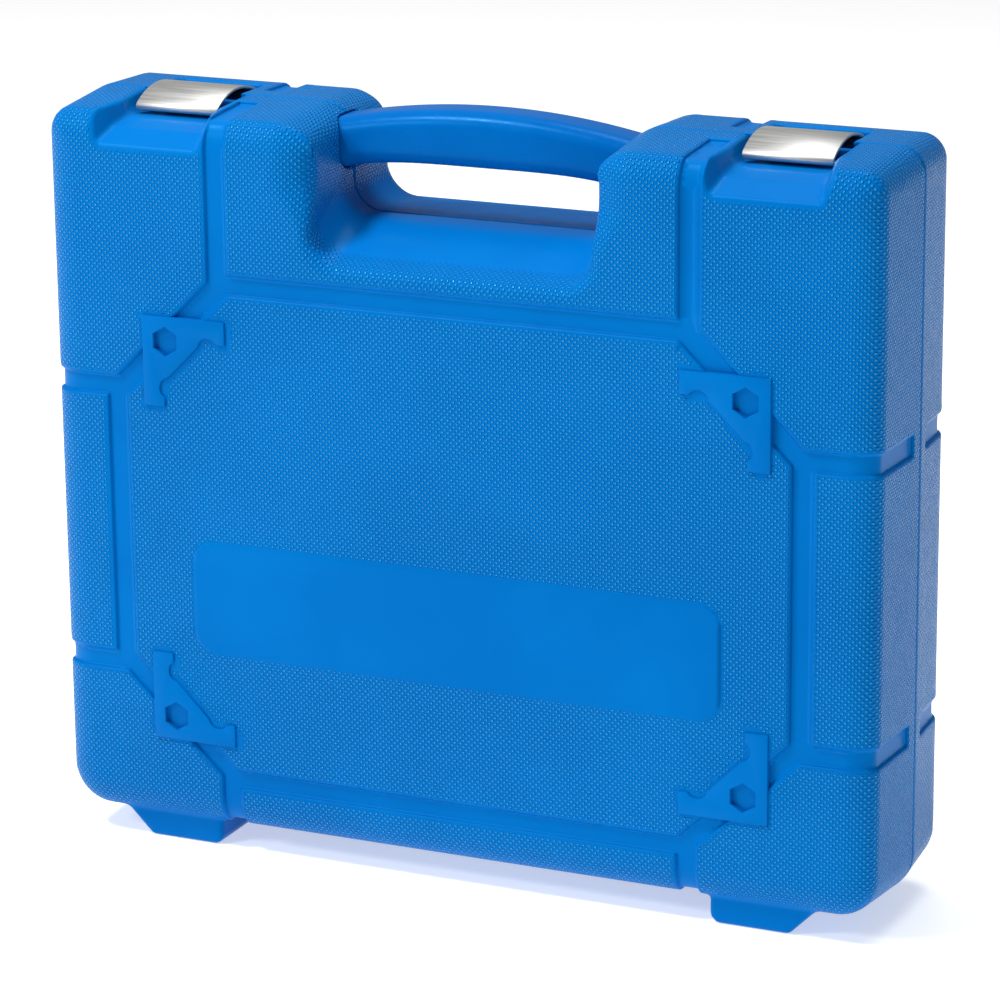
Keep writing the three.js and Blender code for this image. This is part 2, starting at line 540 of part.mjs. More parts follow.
pocket(TBAR.headX - TBAR.room, TBAR.headX + TBAR.travel + TBAR.room, TBAR.z - TBAR.room, TBAR.z + TBAR.room,
  tbarY + 22);

// Hexagon bits in a row.
const BIT = { count: 5, x: -174, step: 15, r: 3.67, bottom: 292, top: 320, hexagon: 16, tipR: 2.2 };
for (let i = 0; i < BIT.count; i++) {
  const x = BIT.x + i * BIT.step;
  const y = axisDepth(BIT.r);
  const neck = BIT.bottom + BIT.hexagon;
  const bit = prism("z", arc(x, y, BIT.r, 0, 300, 5), BIT.bottom, neck)
    .add(rod("z", BIT.tipR, neck - 1, BIT.top, [x, y], 8));
  part("bit_" + (i + 1), bit, DARK_STEEL);
  pocket(x - BIT.r, x + BIT.r, BIT.bottom, BIT.top, y + BIT.r);
}

// ---- Tool tray in the base and the inner panel of the lid
const pocketBox = ([x0, x1, z0, z1, depth], grow, y0) => {
  return box(x0 - grow, x1 + grow, y0, depth + grow, z0 - grow, z1 + grow);
};
part("tool_tray", trayPrism(BASE, 0, TRAY.deck, TRAY.deck + 2)
  .add(union(pockets.map((p) => pocketBox(p, TRAY.sheet, TRAY.deck + 0.5))))
  .subtract(union(pockets.map((p) => pocketBox(p, 0, -1)))), BLACK);
part("lid_liner", trayPrism(LID, 0, LID.rim - 4, LID.rim - 2)
  .subtract(trayPrism(LID, -14, 0, LID.rim - 3.3)), BLACK);

// ---- Assembly: the origin is the middle of the footprint, on the plane that the feet stand on.
const assembly = new THREE.Group();
const drawn = new THREE.Group();
drawn.position.y = (LID.depth + GUSSET_PROUD - BASE.depth) / 2;
drawn.add(...meshes);
assembly.add(drawn);

export default assembly;
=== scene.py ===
# Looks of the socket wrench set in its carrying case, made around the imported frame.
# Shapes are worked out in millimetres and written to meshes in metres.
import json
import math
from math import pi, radians
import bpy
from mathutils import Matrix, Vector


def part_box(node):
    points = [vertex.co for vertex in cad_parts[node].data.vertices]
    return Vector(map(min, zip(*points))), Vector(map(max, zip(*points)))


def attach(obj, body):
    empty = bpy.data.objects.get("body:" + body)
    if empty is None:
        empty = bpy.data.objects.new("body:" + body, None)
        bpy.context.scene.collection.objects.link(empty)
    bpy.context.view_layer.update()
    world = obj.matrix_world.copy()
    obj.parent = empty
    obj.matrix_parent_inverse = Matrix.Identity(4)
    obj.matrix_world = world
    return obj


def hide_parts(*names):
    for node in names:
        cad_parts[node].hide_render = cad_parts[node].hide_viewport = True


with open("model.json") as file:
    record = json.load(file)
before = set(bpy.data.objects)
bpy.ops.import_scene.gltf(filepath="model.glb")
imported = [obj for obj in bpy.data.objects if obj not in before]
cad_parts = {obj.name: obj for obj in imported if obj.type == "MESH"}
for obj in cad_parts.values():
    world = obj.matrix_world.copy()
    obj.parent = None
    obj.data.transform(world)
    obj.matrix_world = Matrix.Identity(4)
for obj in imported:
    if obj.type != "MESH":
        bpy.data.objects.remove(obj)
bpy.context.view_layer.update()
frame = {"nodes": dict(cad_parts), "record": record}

from types import SimpleNamespace as Sizes

import bmesh
import bpy
import numpy as np
from numpy import hypot, maximum, minimum
import openvdb
from mathutils import Matrix, Vector
from mathutils.geometry import tessellate_polygon

MM = 0.001
add_to_scene = bpy.context.scene.collection.objects.link


def box_of(name):
    """A CAD node's box, in millimetres."""
    low, high = [np.array(corner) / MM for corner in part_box(name)]
    return Sizes(low=low, high=high, middle=(low + high) / 2, size=high - low)


# ---- Driving dimensions, in millimetres
PARTING_Y = box_of("hinge_pin_left").middle[1]
HALF_WIDTH = box_of("lid_shell").high[0]
TOP = 345.2
BOTTOM = 10.0
BOTTOM_RISE = 0.06
DRAFT = math.tan(radians(3))
TOP_CORNER = 12.0
BOTTOM_CORNER = 19.0
EDGE_ACROSS = 15.0
GROOVE = 1.8
WALL = 4.3
GAP = 0.3
GUSSET_PROUD = 1.0
PLATE_PROUD = 0.6
LID = Sizes(
    node="lid_shell", body="lid", side=-1, depth=PARTING_Y - box_of("lid_shell").low[1] - GUSSET_PROUD,
    top_fall=0.07, floor_dip=16.0, edge=9.0, rim=6.0, handle_reach=13.0)
BASE = Sizes(
    node="base_shell", body="base", side=1, depth=box_of("base_shell").high[1] - PARTING_Y,
    top_fall=0.01, floor_dip=0.0, edge=13.0, rim=24.0, handle_reach=14.0)
OPENING = Sizes(half_width=67.0, floor=297.0, corner=14.0, flare=18.0, shoulder=15.0)
TRAY = Sizes(half_width=186.0, bottom=20.0, top=329.0, notch_half=98.0, notch=283.0)


# ---- Fields: distances to a surface, negative inside it, which join and cut with rounded edges
def cut_round(a, b, radius):
    """What lies inside both a and b, with the edge between them rounded."""
    outside = hypot(maximum(a + radius, 0), maximum(b + radius, 0))
    return minimum(maximum(a, b), -radius) + outside


def join_round(a, b, radius):
    """What lies inside a or b, with the corner between them filled."""
    return -cut_round(-a, -b, radius)


def ease(value, start, end):
    """A smooth step from 0 at start to 1 at end."""
    share = np.clip((value - start) / (end - start), 0, 1)
    return share * share * (3 - 2 * share)


def convex(u, v, corners, radius):
    """A convex outline, its corners given anticlockwise."""
    made = None
    for (u0, v0), (u1, v1) in zip(corners, corners[1:] + corners[:1]):
        length = math.hypot(u1 - u0, v1 - v0)
        side = ((u - u0) * (v1 - v0) - (v - v0) * (u1 - u0)) / length
        made = side if made is None else cut_round(made, side, radius)
    return made


def outline(u, v, corners):
    """Any closed outline."""
    nearest, inside = np.inf, False
    for (u0, v0), (u1, v1) in zip(corners, corners[1:] + corners[:1]):
        du, dv = u1 - u0, v1 - v0
        share = np.clip(((u - u0) * du + (v - v0) * dv) / (du * du + dv * dv), 0, 1)
        nearest = minimum(nearest, hypot(u - u0 - share * du, v - v0 - share * dv))
        if dv:
            crossed = ((v0 <= v) != (v1 <= v)) & (u < u0 + (v - v0) * du / dv)
            inside = inside ^ crossed
    return np.where(inside, -nearest, nearest)


def arc(u, v, radius, start, end, steps):
    """Points along an arc, its angles in degrees."""
    angles = [radians(start + (end - start) * i / steps) for i in range(steps + 1)]
    return [(u + radius * math.cos(a), v + radius * math.sin(a)) for a in angles]


# ---- Mesh building
def finished(mesh, body, material, replaced=()):
    """Puts a mesh in the scene as a piece that rides on a body and stands for some CAD nodes."""
    piece = bpy.data.objects.new(mesh.name, mesh)
    add_to_scene(piece)
    mesh.materials.append(material)
    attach(piece, body)
    if replaced:
        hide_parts(*replaced)


def mesh_of(name, points, faces, smooth_below=None):
    """A mesh in metres from points in millimetres. Every edge is smooth, or those under an angle."""
    mesh = bpy.data.meshes.new(name)
    points = np.asarray(points, np.float32) * MM
    counts = np.array([len(block[0]) for block in faces for _ in range(len(block))], np.int32)
    corners = np.concatenate([np.asarray(block, np.int32).ravel() for block in faces])
    mesh.vertices.add(len(points))
    mesh.vertices.foreach_set("co", points.ravel())
    mesh.loops.add(len(corners))
    mesh.loops.foreach_set("vertex_index", corners)
    mesh.polygons.add(len(counts))
    mesh.polygons.foreach_set("loop_start", np.cumsum(counts) - counts)
    mesh.polygons.foreach_set("loop_total", counts)
    mesh.update(calc_edges=True)
    mesh.validate()
    if signed_volume(mesh) < 0:
        mesh.flip_normals()
    mesh.shade_smooth()
    if smooth_below is not None:
        mesh.set_sharp_from_angle(angle=radians(smooth_below))
    return mesh


def signed_volume(mesh):
    mesh.calc_loop_triangles()
    points = np.empty(len(mesh.vertices) * 3, np.float32)
    mesh.vertices.foreach_get("co", points)
    corners = np.empty(len(mesh.loop_triangles) * 3, np.int32)
    mesh.loop_triangles.foreach_get("vertices", corners)
    a, b, c = np.moveaxis(points.reshape(-1, 3)[corners.reshape(-1, 3)], 1, 0)
    return float(np.einsum("ij,ij->", a, np.cross(b, c)))


def skinned(field, low, high, step, adaptivity, mirror=False):
    """Points and faces of a field's surface between two corners. A mirrored field holds x >= 0."""
    axes = [np.arange(math.floor(a / step) - 2, math.ceil(b / step) + 3) * step for a, b in zip(low, high)]
    if mirror:
        axes[0] = axes[0][axes[0] > -step / 2]
    values = field(*np.meshgrid(*[axis.astype(np.float32) for axis in axes], indexing="ij", sparse=True))
    band = 3 * step
    values = np.clip(values, -band, band).astype(np.float32)
    if mirror:
        values = np.concatenate([values[:0:-1], values])
        axes[0] = np.concatenate([-axes[0][:0:-1], axes[0]])
    grid = openvdb.FloatGrid(band)
    grid.gridClass = openvdb.GridClass.LEVEL_SET
    grid.copyFromArray(np.ascontiguousarray(values))
    points, triangles, quads = grid.convertToPolygons(isovalue=0.0, adaptivity=adaptivity)
    places = points * step + np.array([axis[0] for axis in axes])
    return places, [block for block in (triangles, quads) if len(block)]


def slopes(field, places, reach=0.25):
    """The unit direction in which a field grows at each place."""
    grown = []
    for axis in range(3):
        ahead, behind = places.copy(), places.copy()
        ahead[:, axis] += reach
        behind[:, axis] -= reach
        grown.append(field(*ahead.T) - field(*behind.T))
    grown = np.stack(grown, 1)
    return grown / maximum(np.linalg.norm(grown, axis=1, keepdims=True), 1e-9)


def own_normals(mesh, field):
    """Shades a mesh by the slope of the field that it was made from."""
    places = np.empty(len(mesh.vertices) * 3, np.float32)
    mesh.vertices.foreach_get("co", places)
    mesh.normals_split_custom_set_from_vertices(slopes(field, places.reshape(-1, 3) / MM))


def skin_over(rings, closed=False):
    """Points and faces over rings of points, with end caps unless the last meets the first."""
    rings = np.asarray(rings)
    count = rings.shape[1]
    rows = np.arange(len(rings) if closed else len(rings) - 1)[:, None]
    after = (rows + 1) % len(rings)
    i = np.arange(count)[None, :]
    j = (i + 1) % count
    corners = [rows * count + i, rows * count + j, after * count + j, after * count + i]
    faces = [np.stack(corners, -1).reshape(-1, 4)]
    if not closed:
        faces.append(np.arange(count)[None, ::-1])
        faces.append(np.arange(count)[None, :] + (len(rings) - 1) * count)
    return rings.reshape(-1, 3), faces


SEGMENTS = 96  # around a turned piece, so that hexagon and square corners fall on a point
ANGLES = np.arange(SEGMENTS) * 2 * pi / SEGMENTS


def ring_loft(start, axis, rings, closed=False):
    """Points and faces through rings of (station along the axis, radius at each angle)."""
    across = {"x": (1, 2, 0), "y": (2, 0, 1), "z": (0, 1, 2)}[axis]
    points = np.zeros((len(rings), SEGMENTS, 3))
    for ring, (station, radii) in zip(points, rings):
        ring[:, across[0]] = radii * np.cos(ANGLES)
        ring[:, across[1]] = radii * np.sin(ANGLES)
        ring[:, across[2]] = station
    return skin_over(points + np.asarray(start), closed)


def hexagon(flats, soften=1.13):
    half = flats / 2
    turn = (ANGLES + pi / 6) % (pi / 3) - pi / 6
    return minimum(half / np.cos(turn), half * soften)


def square(size, soften=1.34):
    half = size / 2
    return minimum(half / maximum(abs(np.cos(ANGLES)), abs(np.sin(ANGLES))), half * soften)


def curve(start, pull, end, share):
    """A place on the curve from start to end that is drawn towards pull."""
    return start * (1 - share) ** 2 + pull * 2 * share * (1 - share) + end * share**2


def bevelled(rings, width, closed=False):
    """Rings with each corner of their profile cut back and rounded."""
    count = len(rings)
    made = [] if closed else [rings[0]]
    inner = range(count) if closed else range(1, count - 1)
    for i in inner:
        here = np.append(rings[i][1], rings[i][0])
        reach = []
        for other in (rings[i - 1], rings[(i + 1) % count]):
            there = np.append(other[1], other[0])
            gap = math.hypot(there[-1] - here[-1], np.mean(there[:-1] - here[:-1]))
            reach.append(here + (there - here) * min(0.45, width / max(gap, 1e-6)))
        for share in (0, 0.5, 1):
            point = curve(reach[0], here, reach[1], share)
            made.append((point[-1], point[:-1]))
    if not closed:
        made.append(rings[-1])
    return made


def turned(node, axis, rings, bevel, material, body="base", closed=False, start=None, ending="turned"):
    """A turned piece in a node's place. Each ring has its station from the low end of the node's box,
    and its radius, or the radius at each angle."""
    rings = [(station, radii + 0 * ANGLES) for station, radii in rings]
    if start is None:
        box = box_of(node)
        start = [box.low[i] if letter == axis else box.middle[i] for i, letter in enumerate("xyz")]
    points, faces = ring_loft(start, axis, bevelled(rings, bevel, closed), closed)
    finished(mesh_of(f"{node}_{ending}", points, faces, 35), body, material, [node])


def forged(name, field, low, high, step, body, node):
    """A chromed piece skinned over a field and shaded by its slope."""
    mesh = mesh_of(name, *skinned(field, low, high, step, 0.02))
    own_normals(mesh, field)
    finished(mesh, body, CHROME, [node])


def lofted(node, ending, start, rings):
    """A moulded grip through rings along x."""
    mesh = mesh_of(f"{node}_{ending}", *ring_loft(start, "x", rings), 50)
    finished(mesh, "base", GRIP_PLASTIC, [node])


def ribbon(node, ending, path, thickness, body):
    """A strip of sheet steel across a node's width: a path of (y, z) points, its edges eased."""
    path = np.array(path)
    along = np.gradient(path, axis=0)
    normal = np.stack([-along[:, 1], along[:, 0]], 1) / np.linalg.norm(along, axis=1, keepdims=True)
    x0, x1, eased = box_of(node).low[0], box_of(node).high[0], thickness / 4
    rings = []
    for x, share in ((x0, 0.55), (x0 + eased, 1), (x1 - eased, 1), (x1, 0.55)):
        offset = normal * thickness / 2 * share
        loop = np.concatenate([path + offset, (path - offset)[::-1]])
        rings.append(np.column_stack([np.full(len(loop), x), loop]))
    count = len(rings[0])
    points, faces = skin_over(rings)
    k = np.arange(len(path) - 1)
    cap = np.stack([k, count - 1 - k, count - 2 - k, k + 1], 1)
    mesh = mesh_of(f"{node}_{ending}", points, [faces[0], cap, cap[:, ::-1] + 3 * count], 50)
    finished(mesh, body, LATCH_STEEL, [node])


def spans(step, *edges):
    """Grid lines about a step apart that fall on every edge."""
    runs = [np.linspace(a, b, max(2, round((b - a) / step) + 1)) for a, b in zip(edges, edges[1:])]
    return np.unique(np.concatenate(runs).round(4))


def sheet(name, step, front, thickness, side):
    """A formed sheet over the tray's outline. Front gives its distance from the parting plane."""
    xs = spans(step, -TRAY.half_width, -TRAY.notch_half, TRAY.notch_half, TRAY.half_width)
    zs = spans(step, TRAY.bottom, TRAY.notch, TRAY.top)
    x, z = np.meshgrid(xs, zs, indexing="ij")
    near = front(x, z)
    layers = [np.stack([x, PARTING_Y + side * t, z], -1).reshape(-1, 3) for t in (near, near + thickness)]
    index = np.arange(x.size).reshape(x.shape)
    middle_x, middle_z = np.meshgrid((xs[1:] + xs[:-1]) / 2, (zs[1:] + zs[:-1]) / 2, indexing="ij")
    used = tray_outline(abs(middle_x), middle_z) < 0
    quads = np.stack([index[:-1, :-1], index[1:, :-1], index[1:, 1:], index[:-1, 1:]], -1)[used]
    edges = np.concatenate([quads[:, [k, (k + 1) % 4]] for k in range(4)])
    keys = {tuple(edge) for edge in edges.tolist()}
    rim = np.array([edge for edge in keys if edge[::-1] not in keys])
    walls = np.stack([rim[:, 1], rim[:, 0], rim[:, 0] + x.size, rim[:, 1] + x.size], 1)
    faces = np.concatenate([quads, quads[:, ::-1] + x.size, walls])
    used_points, corners = np.unique(faces, return_inverse=True)
    return mesh_of(name, np.concatenate(layers)[used_points], [corners.reshape(-1, 4)], 50)


# ---- Materials
def linear(red, green, blue):
    """A colour from its 0-255 values on screen."""
    def one(value):
        value /= 255
        return value / 12.92 if value <= 0.04045 else ((value + 0.055) / 1.055) ** 2.4
    return (one(red), one(green), one(blue), 1.0)


class Shading:
    """A material's node tree, with short ways to add to it."""

    def __init__(self, name, **values):
        self.material = bpy.data.materials.new(name)
        self.material.use_nodes = True
        self.tree = self.material.node_tree
        self.shader = self.tree.nodes["Principled BSDF"]
        for key, value in values.items():
            self.shader.inputs[key.replace("_", " ")].default_value = value

    def node(self, kind, inputs=(), **settings):
        made = self.tree.nodes.new("ShaderNode" + kind)
        for key, value in settings.items():
            setattr(made, key, value)
        for key, value in dict(inputs).items():
            if isinstance(value, bpy.types.NodeSocket):
                self.tree.links.new(value, made.inputs[key])
            else:
                made.inputs[key].default_value = value
        return made

    def math(self, operation, *values):
        return self.node("Math", dict(enumerate(values)), operation=operation).outputs[0]

    def span(self, value, low, high, start=0.0, end=1.0):
        """A smooth step from start to end as a value goes from low to high."""
        inputs = {0: value, 1: low, 2: high, 3: start, 4: end}
        return self.node("MapRange", inputs, interpolation_type="SMOOTHSTEP").outputs[0]

    def noise(self, scale, detail=2.0, roughness=0.5, stretch=(1, 1, 1)):
        place = self.node("TexCoord").outputs["Object"]
        placed = self.node("Mapping", {"Vector": place, "Scale": stretch}).outputs[0]
        inputs = {"Vector": placed, "Scale": scale, "Detail": detail, "Roughness": roughness}
        return self.node("TexNoise", inputs).outputs["Fac"]

    def blend_colour(self, share, first, second):
        inputs = {"Factor": share, 6: first, 7: second}
        return self.node("Mix", inputs, data_type="RGBA").outputs[2]

    def colour(self, socket):
        self.tree.links.new(socket, self.shader.inputs["Base Color"])

    def roughness(self, socket):
        self.tree.links.new(socket, self.shader.inputs["Roughness"])

    def bumps(self, *heights):
        """Stacks bumps, each a height socket and the depth in metres that it stands for."""
        normal = None
        for height, depth in heights:
            inputs = {"Height": height, "Distance": depth, "Strength": 1.0}
            if normal is not None:
                inputs["Normal"] = normal
            normal = self.node("Bump", inputs).outputs[0]
        self.tree.links.new(normal, self.shader.inputs["Normal"])


DOT_SPACING = 0.002  # between neighbouring dots, whose rows run at 45 degrees


def dot_lattice(shading):
    """Rows of small domes on every side of a piece, each laid out in the plane that it lies in."""
    coordinates = shading.node("TexCoord")
    place = shading.node("SeparateXYZ", {0: coordinates.outputs["Object"]}).outputs
    facing = shading.node("SeparateXYZ", {0: coordinates.outputs["Normal"]}).outputs
    total = None
    for u, v, across in ((0, 2, 1), (1, 2, 0), (0, 1, 2)):
        flat = shading.node("CombineXYZ", {0: place[u], 1: place[v]}).outputs[0]
        turn = {"Vector": flat, "Rotation": (0, 0, pi / 4)}
        turned_flat = shading.node("Mapping", turn).outputs[0]
        inputs = {"Vector": turned_flat, "Scale": 1 / DOT_SPACING, "Randomness": 0.0}
        away = shading.node("TexVoronoi", inputs, voronoi_dimensions="2D").outputs["Distance"]
        dome = shading.span(away, 0.1, 0.44, 1.0, 0.0)
        weight = shading.span(shading.math("ABSOLUTE", facing[across]), 0.55, 0.8)
        part = shading.math("MULTIPLY", dome, weight)
        total = part if total is None else shading.math("MAXIMUM", total, part)
    return total


def case_plastic(textured):
    """Moulded polypropylene, with a lattice of dots where a piece is marked for it, and a painted highlight
    on the crest of each dot.
    """
    name = "case_plastic_dotted" if textured else "case_plastic_smooth"
    made = Shading(name, Specular_Tint=CASE_SHEEN)
    patches = made.noise(9, 3, 0.6)
    grain = made.noise(2600, 2, 0.6)
    shade = made.blend_colour(made.span(patches, 0.35, 0.65), CASE_DEEP, CASE_BRIGHT)
    rough = made.span(made.noise(120, 3), 0.3, 0.7, 0.29, 0.35)
    if textured:
        depth = made.node("Attribute", attribute_name="dotted_depth").outputs["Fac"]
        dots = made.math("MULTIPLY", dot_lattice(made), made.span(depth, 0.0, 0.5))
        # Painted highlight: the crest of each dot is mixed toward a pale blue, standing in for the glint that
        # light makes on the domes.
        painted_highlight = made.math("POWER", dots, 4.0)
        made.colour(made.blend_colour(made.math("MULTIPLY", painted_highlight, 0.6), shade, CASE_PAINTED_HIGHLIGHT))
        made.roughness(made.math("SUBTRACT", rough, made.math("MULTIPLY", dots, 0.14)))
        made.tree.links.new(made.span(dots, 0.0, 1.0, 0.09, 0.34), made.shader.inputs["Specular IOR Level"])
        made.bumps((dots, 0.00075), (grain, 0.00002))
    else:
        made.shader.inputs["Specular IOR Level"].default_value = 0.11
        made.roughness(rough)
        made.colour(shade)
        made.bumps((grain, 0.00002))
    return made.material


def plain_plastic(name, colour, second, roughness, grain_scale, grain_depth, **values):
    made = Shading(name, **values)
    patches = made.span(made.noise(14, 3), 0.35, 0.65)
    made.colour(made.blend_colour(patches, linear(*colour), linear(*second)))
    made.roughness(made.span(made.noise(150, 3), 0.3, 0.7, roughness - 0.05, roughness + 0.05))
    made.bumps((made.noise(grain_scale, 2, 0.6), grain_depth))
    return made.material


def metal(name, colour, second, rough_low, rough_high, stretch, scratch_depth):
    """Steel whose fine marks run along one direction, set by how the noise is stretched."""
    made = Shading(name, Metallic=1.0)
    marks = made.noise(700, 4, 0.7, stretch)
    patches = made.span(made.noise(25, 3), 0.3, 0.7)
    made.colour(made.blend_colour(patches, linear(*colour), linear(*second)))
    made.roughness(made.span(marks, 0.3, 0.7, rough_low, rough_high))
    made.bumps((marks, scratch_depth))
    return made.material


CASE_DEEP = linear(0, 101, 178)
CASE_BRIGHT = linear(0, 108, 186)
# Painted highlight colour, mixed into the crests of the dots.
CASE_PAINTED_HIGHLIGHT = linear(60, 178, 245)
CASE_SHEEN = linear(60, 200, 255)
DOTTED = case_plastic(True)
SMOOTH_CASE = case_plastic(False)
HANDLE_PLASTIC = plain_plastic("handle_plastic", (0, 90, 166), (0, 96, 174), 0.26, 1500, 0.000012,
                               Specular_IOR_Level=0.12, Specular_Tint=CASE_SHEEN)
TRAY_PLASTIC = plain_plastic("tray_plastic", (26, 27, 29), (29, 30, 32), 0.55, 1800, 0.00004)
GRIP_PLASTIC = plain_plastic("grip_plastic", (22, 22, 24), (30, 30, 32), 0.48, 1400, 0.00003)
RUBBER = plain_plastic("rubber", (20, 20, 21), (27, 27, 28), 0.7, 2200, 0.00004)
LATCH_STEEL = metal("latch_steel", (196, 196, 194), (206, 206, 204), 0.42, 0.54,
                    (0.04, 1, 1), 0.000002)
CHROME = metal("chrome", (222, 225, 228), (232, 234, 236), 0.08, 0.16, (0.3, 1, 1), 0.000001)
DARK_STEEL = metal("dark_steel", (112, 116, 120), (128, 132, 136), 0.3, 0.45,
                   (1, 0.2, 1), 0.000003)


# ---- Case halves, drawn for x >= 0 with t the distance from the parting plane
def case_body(half, x, t, z):
    """The rounded and drafted block that a half is moulded as."""
    bend = np.arcsin(np.clip((t - half.depth + half.edge) / half.edge, 0, 1))
    inset = EDGE_ACROSS * (1 - np.cos(bend)) + 3
    side = x - HALF_WIDTH + t * DRAFT
    top = z - TOP + t * half.top_fall
    bottom = BOTTOM + t * BOTTOM_RISE - z
    across = cut_round(side, top, maximum(inset, TOP_CORNER))
    across = cut_round(across, bottom, maximum(inset, BOTTOM_CORNER))
    face = t - half.depth
    u = maximum(across / EDGE_ACROSS + 1, 0)
    v = maximum(face / half.edge + 1, 0)
    radius = maximum(hypot(u, v), 1e-6)
    slope = hypot(u / EDGE_ACROSS, v / half.edge) / radius
    rounded = (radius - 1) / maximum(slope, 1e-6)
    return np.where((u > 0) & (v > 0), rounded, maximum(across, face))


FAR = 260
BLOCKS = [
    [(-108, 40.1), (108, 40.1), (160, 90), (160, 214), (108, 263.8), (-108, 263.8), (-160, 214), (-160, 90)],
    [(-108, 272.8), (108, 272.8), (108, 420), (-108, 420)],
    [(-107.5, -30), (107.5, -30), (107.5, 32.1), (-107.5, 32.1)],
    [(117.4, 269), (164.4, 221.7), (FAR, 221.7), (FAR, 420), (117.4, 420)],
    [(169.6, 90.7), (FAR, 90.7), (FAR, 212.6), (169.6, 212.6)],
    [(116.3, -30), (FAR, -30), (FAR, 82), (164.2, 82), (116.3, 36.9)],
]


def blocks(x, z):
    """The raised blocks of a half, as outlines across it."""
    made = None
    for corners in BLOCKS:
        one = convex(x, z, corners, 0.8)
        made = one if made is None else minimum(made, one)
    return made


COLLAR = Sizes(width=8, top_width=12, top_half=130, top_from=300)


def collar(x, t, z):
    """The band beside the parting plane that no groove crosses, wider along the top."""
    top = maximum(x - COLLAR.top_half, COLLAR.top_from - z)
    return minimum(t - COLLAR.width, maximum(top, t - COLLAR.top_width))


def hand_opening(half, x, t, z):
    floor = OPENING.floor - half.floor_dip * ease(t, 8, half.depth + 2)
    return cut_round(x - OPENING.half_width, floor - z, OPENING.corner)


def opening_edge(half, t, z):
    """How round the hand opening's edge is: wide along its walls and tighter along its floor."""
    walls = OPENING.shoulder + (OPENING.flare - OPENING.shoulder) * ease(t, 0, half.depth)
    floor = 5 if half.floor_dip else 0.7 * OPENING.flare
    return floor + (walls - floor) * ease(z, OPENING.floor - 2, OPENING.floor + 22)


NOTCH = Sizes(t=[-1, 25, 36, 49, 56], inner=[124, 124, 123, 121, 119],
                        outer=[167.5, 167.5, 169, 172, 175], floor=[336.5, 336.2, 333.5, 327, 322])
WELL_DEPTH = 25
NOTCH_WALL_SLOPE = 0.4


def latch_recess(half, x, t, z):
    """The notch in the lid that a latch lies in, and the well that it turns in on the base."""
    inner, outer, floor = [np.interp(t, NOTCH.t, row).astype(np.float32)
                           for row in (NOTCH.inner, NOTCH.outer, NOTCH.floor)]
    if half.side > 0:
        floor = NOTCH.floor[0]
    lean = NOTCH_WALL_SLOPE * maximum(z - floor, 0) if half.side < 0 else 0
    made = cut_round(maximum(inner - lean - x, x - outer - lean), floor - z, 2)
    return made if half.side < 0 else cut_round(made, t - WELL_DEPTH, 3)


HANDLE = Sizes(middle=0.5, half_depth=13.5, corner=8.0, end=86.0, shaped_to=72,
                         bottom=321.5, bottom_fall=5.5, top=347, top_fall=7.6)


def handle_section(x):
    """The handle's lowest and highest z, which both fall towards its ends."""
    share = minimum(abs(x) / HANDLE.shaped_to, 1)
    return HANDLE.bottom - HANDLE.bottom_fall * share**4, HANDLE.top - HANDLE.top_fall * share**2


def handle_field(half, x, t, z):
    bottom, top = handle_section(x)
    y = abs(half.side * t - HANDLE.middle) - HANDLE.half_depth
    made = cut_round(y, abs(z - (top + bottom) / 2) - (top - bottom) / 2, HANDLE.corner)
    return maximum(made, x - HANDLE.end)


FOOT = [(121, 3), (124, 0), (158, 0), (172, 14), (172, 17), (121, 17)]
FOOT_NEAR, FOOT_FAR = 10.5, 42


def foot(x, t, z):
    return cut_round(convex(x, z, FOOT, 1.2), maximum(FOOT_NEAR - t, t - FOOT_FAR), 2)


PANEL_MIDDLE = 151.6
GUSSET_CORNER = (150.5, 251.5)
GUSSET_ARM = [(41.5, 0), (41.5, 10.5), *arc(33, 13, 5, -30, -170, 10)]
GUSSET = [(0, 0), *GUSSET_ARM, *[(v, u) for u, v in reversed(GUSSET_ARM)]]
GUSSET_HEXAGON = arc(11.4, 11.4, 6.7, 30, 330, 5)
GUSSET_RECESS = 2.6
GUSSET_ROOM = 0.5  # around the recess of a corner plate
PLATE = Sizes(half_width=128.0, middle=122.0, half_height=26.0, corner=10.0, edge=0.5, root=3)


def gusset_outline(x, z, corners):
    u = GUSSET_CORNER[0] - x
    v = GUSSET_CORNER[1] - PANEL_MIDDLE - abs(z - PANEL_MIDDLE)
    return outline(u, v, corners)


def gusset_wells(half, x, t, z):
    """Room in the lid for the recesses of the corner plates."""
    depth = half.depth + GUSSET_PROUD - GUSSET_RECESS - GUSSET_ROOM
    return maximum(gusset_outline(x, z, GUSSET_HEXAGON) - GUSSET_ROOM, depth - t)


def blank_plate(half, x, t, z):
    made = cut_round(x - PLATE.half_width, abs(z - PLATE.middle) - PLATE.half_height, PLATE.corner)
    made = cut_round(made, t - half.depth - PLATE_PROUD, PLATE.edge)
    return maximum(made, half.depth - PLATE.root - t)


def skin(half, x, t, z):
    """The outside of a half without its feet and raised details."""
    body = case_body(half, x, t, z)
    raised = minimum(blocks(x, z), collar(x, t, z))
    made = join_round(body + GROOVE, cut_round(body, raised, 1.0), 0.7)
    made = cut_round(made, -hand_opening(half, x, t, z), opening_edge(half, t, z))
    return cut_round(made, -latch_recess(half, x, t, z), 1.6)


def tray_outline(x, z):
    outside = maximum(x - TRAY.half_width, maximum(TRAY.bottom - z, z - TRAY.top))
    return maximum(outside, -maximum(x - TRAY.notch_half, TRAY.notch - z))


LUG = Sizes(x=77.0, half_width=17.0, behind_handle=6.0, bottom=304.0)
CATCH = Sizes(x=144.5, half_width=13.5, t=7.5, half_depth=2.5, z=336.5, half_height=1.6)
SEAT = Sizes(sheet=1.7, ledge=4.0)


